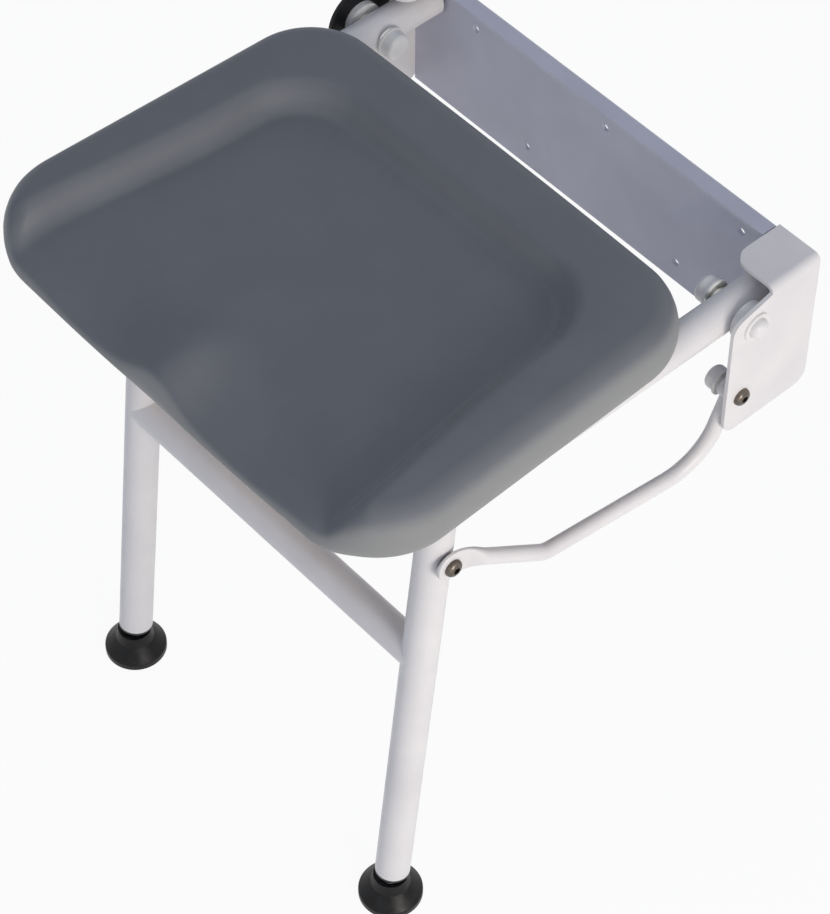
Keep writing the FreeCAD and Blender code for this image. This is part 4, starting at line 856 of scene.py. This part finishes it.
# Operators
class WALLSEAT_OT_stage(bpy.types.Operator):
    """Make the camera, the floor and the lights"""
    bl_idname = "wall_seat.stage"
    bl_label = "Stage"

    def execute(self, context):
        scene = context.scene
        settings = scene.wall_seat_stage
        scene.view_settings.view_transform = "Standard"
        self.camera(scene)
        self.floor(scene, settings.floor)
        self.key_lamp(scene, settings.key)
        self.surround(scene, settings.fill)
        return {"FINISHED"}

    def camera(self, scene):
        """The photograph's own view."""
        lens = bpy.data.cameras.new("camera")
        lens.lens = LENS
        lens.sensor_width = SENSOR
        lens.clip_end = CAMERA_FAR
        camera = bpy.data.objects.new("camera", lens)
        turn = Matrix.Rotation(math.radians(CAMERA_TURN), 4, "Z")
        tip = Matrix.Rotation(math.radians(90.0 - CAMERA_DOWN), 4, "X")
        roll = Matrix.Rotation(math.radians(CAMERA_ROLL), 4, "Z")
        camera.matrix_world = Matrix.Translation(CAMERA_PLACE) @ turn @ tip @ roll
        scene.collection.objects.link(camera)
        scene.camera = camera

    def floor(self, scene, colour):
        """A broad floor just under the feet."""
        shape = bmesh.new()
        bmesh.ops.create_grid(shape, x_segments=2, y_segments=2, size=FLOOR_HALF)
        mesh = bpy.data.meshes.new("floor")
        shape.to_mesh(mesh)
        shape.free()
        floor = bpy.data.objects.new("floor", mesh)
        floor.location = (0.0, 0.0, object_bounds()[0][2] - FLOOR_DROP)
        mesh.materials.append(self.floor_paint(colour))
        scene.collection.objects.link(floor)
        floor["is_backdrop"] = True

    def floor_paint(self, colour):
        """Matt white paint that glows to the camera, so that it reads white but keeps shadows."""
        material, tree, shader, _ = new_surface("matt_floor_paint", Roughness=FLOOR_ROUGH)
        shader.inputs["Base Color"].default_value = colour
        glow = add_node(tree, "ShaderNodeEmission", {"Color": WHITE, "Strength": 1.0})
        share = add_node(tree, "ShaderNodeMath", {0: seen(tree), 1: FLOOR_GLOW},
                         operation="MULTIPLY")
        mix = add_node(tree, "ShaderNodeMixShader", {"Fac": share.outputs["Value"]})
        tree.links.new(shader.outputs["BSDF"], mix.inputs[1])
        tree.links.new(glow.outputs["Emission"], mix.inputs[2])
        output = next(node for node in tree.nodes if node.type == "OUTPUT_MATERIAL")
        tree.links.new(mix.outputs["Shader"], output.inputs["Surface"])
        return material

    def key_lamp(self, scene, power):
        """A broad round lamp on the right, aimed at the seat."""
        light = bpy.data.lights.new("key", "AREA")
        light.energy = power
        light.shape = "DISK"
        light.size = LAMP_SIZE
        light.color = linear(LAMP_TINT)[:3]
        lamp = bpy.data.objects.new("key", light)
        aim = (Vector(LAMP_TARGET) - Vector(LAMP_PLACE)).to_track_quat("-Z", "Y")
        lamp.matrix_world = Matrix.Translation(LAMP_PLACE) @ aim.to_matrix().to_4x4()
        scene.collection.objects.link(lamp)

    def surround(self, scene, strength):
        """Even, slightly cool light from all round; white where the camera sees it."""
        world = bpy.data.worlds.new("surround")
        scene.world = world
        world.use_nodes = True
        tree = world.node_tree
        tree.nodes.clear()
        even = add_node(tree, "ShaderNodeBackground", {
            "Color": linear(SURROUND_TINT), "Strength": strength})
        white = add_node(tree, "ShaderNodeBackground", {"Color": WHITE, "Strength": SURROUND_SEEN})
        mix = add_node(tree, "ShaderNodeMixShader", {"Fac": seen(tree)})
        tree.links.new(even.outputs["Background"], mix.inputs[1])
        tree.links.new(white.outputs["Background"], mix.inputs[2])
        output = add_node(tree, "ShaderNodeOutputWorld")
        tree.links.new(mix.outputs["Shader"], output.inputs["Surface"])


class WALLSEAT_OT_metalwork(bpy.types.Operator):
    """Coat the bracket, seat frame and legs, and lay their welds"""
    bl_idname = "wall_seat.metalwork"
    bl_label = "Bracket, seat frame and legs"

    def execute(self, context):
        settings = context.scene.wall_seat_coat
        coat = powder_coated_steel("powder_coated_steel", linear("#DEDBDA"), settings.colour)
        dress(coat, "cheek_left", "cheek_right", "seat_tube_left", "seat_tube_right", "rear_rail",
              "front_rail", "leg_lug_left", "leg_lug_right", "leg_tube_left", "leg_tube_right",
              "leg_crossbar", "hinge_bolts")
        # painted shade: the wall plate gets the coat darkened and cooled as the shade it lies in
        full = settings.plate_painted_shade_colour
        dress(powder_coated_steel("powder_coated_plate_painted_shade", darker(full, 0.91), full), "wall_plate")
        self.welds(coat, settings.weld * MM)
        return {"FINISHED"}

    def welds(self, coat, radius):
        """Beads where the rails meet the seat tubes and the crossbar meets the legs."""
        low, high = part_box("seat_tube_right")
        tube_radius = (high.x - low.x) / 2
        lean = math.radians(LEG_LEAN)
        down_leg = Vector((0, -math.sin(lean), -math.cos(lean)))
        for name, body, tube, along, rails in (
                ("weld_seat_frame", "seat", "seat_tube_right", Vector((0, 1, 0)),
                 ("rear_rail", "front_rail")),
                ("weld_legs", "legs", "leg_tube_right", down_leg, ("leg_crossbar",))):
            shape = bmesh.new()
            for rail in rails:
                for side in (1, -1):
                    centre = middle(rail)
                    centre.x = side * middle(tube).x
                    inward = Vector((-side, 0, 0))
                    bead(shape, tube_joint_path(centre, along, inward, tube_radius, radius), radius)
            new_piece(name, shape, coat, body)


class WALLSEAT_OT_struts(bpy.types.Operator):
    """Bend the two struts and flatten their front eyes"""
    bl_idname = "wall_seat.struts"
    bl_label = "Bent struts"

    def execute(self, context):
        strut = context.scene.wall_seat_strut
        coat = bpy.data.materials["powder_coated_steel"]
        rear, eye = strut_pivots(strut)
        sections = strut_sections(strut, rear, eye)
        bar = strut.bar * MM
        bore = strut.bush / 2 * MM
        for side, node in ((1, "strut_right"), (-1, "strut_left")):
            shape = strut_shape(sections, side)
            piece = new_piece("bent_" + node, shape, coat, node)
            at_cheek = on_side(rear, side) * MM
            at_leg = on_side(eye, side) * MM
            join_shapes(piece, [cross_pin(at_cheek, strut.rear_eye / 2 * MM, bar)], "UNION")
            join_shapes(piece, [cross_pin(at_cheek, bore, 2 * bar),
                                cross_pin(at_leg, bore, 2 * bar)], "DIFFERENCE")
            crease(piece, degrees=38)
            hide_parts(node)
        return {"FINISHED"}


class WALLSEAT_OT_fittings(bpy.types.Operator):
    """Finish the bolts, washers, nuts, caps, plugs and bushes"""
    bl_idname = "wall_seat.fittings"
    bl_label = "Bolts, caps and plugs"

    def execute(self, context):
        dress(zinc_plated_steel(), "hinge_nut_washers", "hinge_nuts",
              "strut_rear_washers", "strut_rear_nuts", "hinge_sleeves", "leg_pivot_washers",
              "leg_pivot_nuts", "strut_front_nuts", "foot_stems", "board_inserts")
        dress(blackened_steel(), "strut_rear_bolts", "leg_pivot_bolts", "strut_front_bolts",
              "board_screws")
        dress(moulded_nylon("white_moulded_nylon", "#DDDBD8", "#E9E8E5", rough=0.36),
              "hinge_spacers", "hinge_head_washers", "hinge_nut_caps", "strut_rear_caps",
              "leg_pivot_caps", "strut_front_caps", "seat_tube_plugs")
        dress(moulded_nylon("black_moulded_nylon", "#15161A", "#222327", rough=0.40),
              "leg_top_plugs", "foot_inserts", "leg_pivot_spacers", "leg_bushes",
              "strut_front_spacers", "strut_bushes_left", "strut_bushes_right")
        return {"FINISHED"}


class WALLSEAT_OT_feet(bpy.types.Operator):
    """Finish the rubber feet and the rubber disc at the hinge"""
    bl_idname = "wall_seat.feet"
    bl_label = "Feet and disc"

    def execute(self, context):
        dress(moulded_rubber(), "foot_left", "foot_right", "friction_disc")
        return {"FINISHED"}


class WALLSEAT_OT_pad(bpy.types.Operator):
    """Mould the seat pad over its board"""
    bl_idname = "wall_seat.pad"
    bl_label = "Seat pad"

    def execute(self, context):
        pad = context.scene.wall_seat_pad
        low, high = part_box("seat_pad")
        origin = Vector(((low.x + high.x) / 2, (low.y + high.y) / 2, low.z))
        piece = new_piece("moulded_pad", pad_shape(pad, origin), skinned_foam(), "seat")
        self.recess(piece, low, high)
        crease(piece, degrees=40)
        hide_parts("seat_pad")
        dress(birch_plywood(), "pad_board")
        return {"FINISHED"}

    def recess(self, piece, low, high):
        """Room in the pad's underside for the frame and the board, with notches for the tubes."""
        gap = 0.3 * MM
        past = 10 * MM
        skirt = high.y - 12 * MM
        notch = skirt - 20 * MM
        tube_low, tube_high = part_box("seat_tube_right")
        plugs_low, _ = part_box("seat_tube_plugs")
        board_low, board_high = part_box("pad_board")
        deep = low.z - past
        top = tube_high.z + gap
        outer = tube_high.x + gap
        inner = tube_low.x - gap
        cut_boxes(piece, [
            ((-outer, plugs_low.y - gap, deep), (outer, skirt, top)),
            ((board_low.x - gap, board_low.y - gap, top - 1 * MM),
             (board_high.x + gap, board_high.y + gap, board_high.z + gap)),
            ((inner, notch, deep), (outer, high.y + past, top)),
            ((-outer, notch, deep), (-inner, high.y + past, top)),
        ])


class WALLSEAT_PT_parts(bpy.types.Panel):
    """Lists the seat's pieces and their settings"""
    bl_idname = "WALLSEAT_PT_parts"
    bl_label = "Fold down wall seat"
    bl_space_type = "VIEW_3D"
    bl_region_type = "UI"
    bl_category = "Wall Seat"

    def draw(self, context):
        for operator in OPERATORS:
            self.layout.operator(operator.bl_idname, text=operator.bl_label)
        for group, kind in SETTINGS:
            box = self.layout.box()
            for name in kind.__annotations__:
                box.prop(getattr(context.scene, group), name)


OPERATORS = (WALLSEAT_OT_stage, WALLSEAT_OT_metalwork, WALLSEAT_OT_struts, WALLSEAT_OT_fittings,
             WALLSEAT_OT_feet, WALLSEAT_OT_pad)
SETTINGS = (("wall_seat_pad", WallSeatPad), ("wall_seat_strut", WallSeatStrut),
            ("wall_seat_coat", WallSeatCoat), ("wall_seat_stage", WallSeatStage))


def register():
    for name, group in SETTINGS:
        bpy.utils.register_class(group)
        setattr(bpy.types.Scene, name, PointerProperty(type=group))
    for cls in (*OPERATORS, WALLSEAT_PT_parts):
        bpy.utils.register_class(cls)


def unregister():
    for cls in (WALLSEAT_PT_parts, *reversed(OPERATORS)):
        bpy.utils.unregister_class(cls)
    for name, group in reversed(SETTINGS):
        delattr(bpy.types.Scene, name)
        bpy.utils.unregister_class(group)


def main():
    register()
    bpy.ops.wall_seat.stage()
    bpy.ops.wall_seat.metalwork()
    bpy.ops.wall_seat.struts()
    bpy.ops.wall_seat.fittings()
    bpy.ops.wall_seat.feet()
    bpy.ops.wall_seat.pad()


if __name__ == "__main__":
    main()
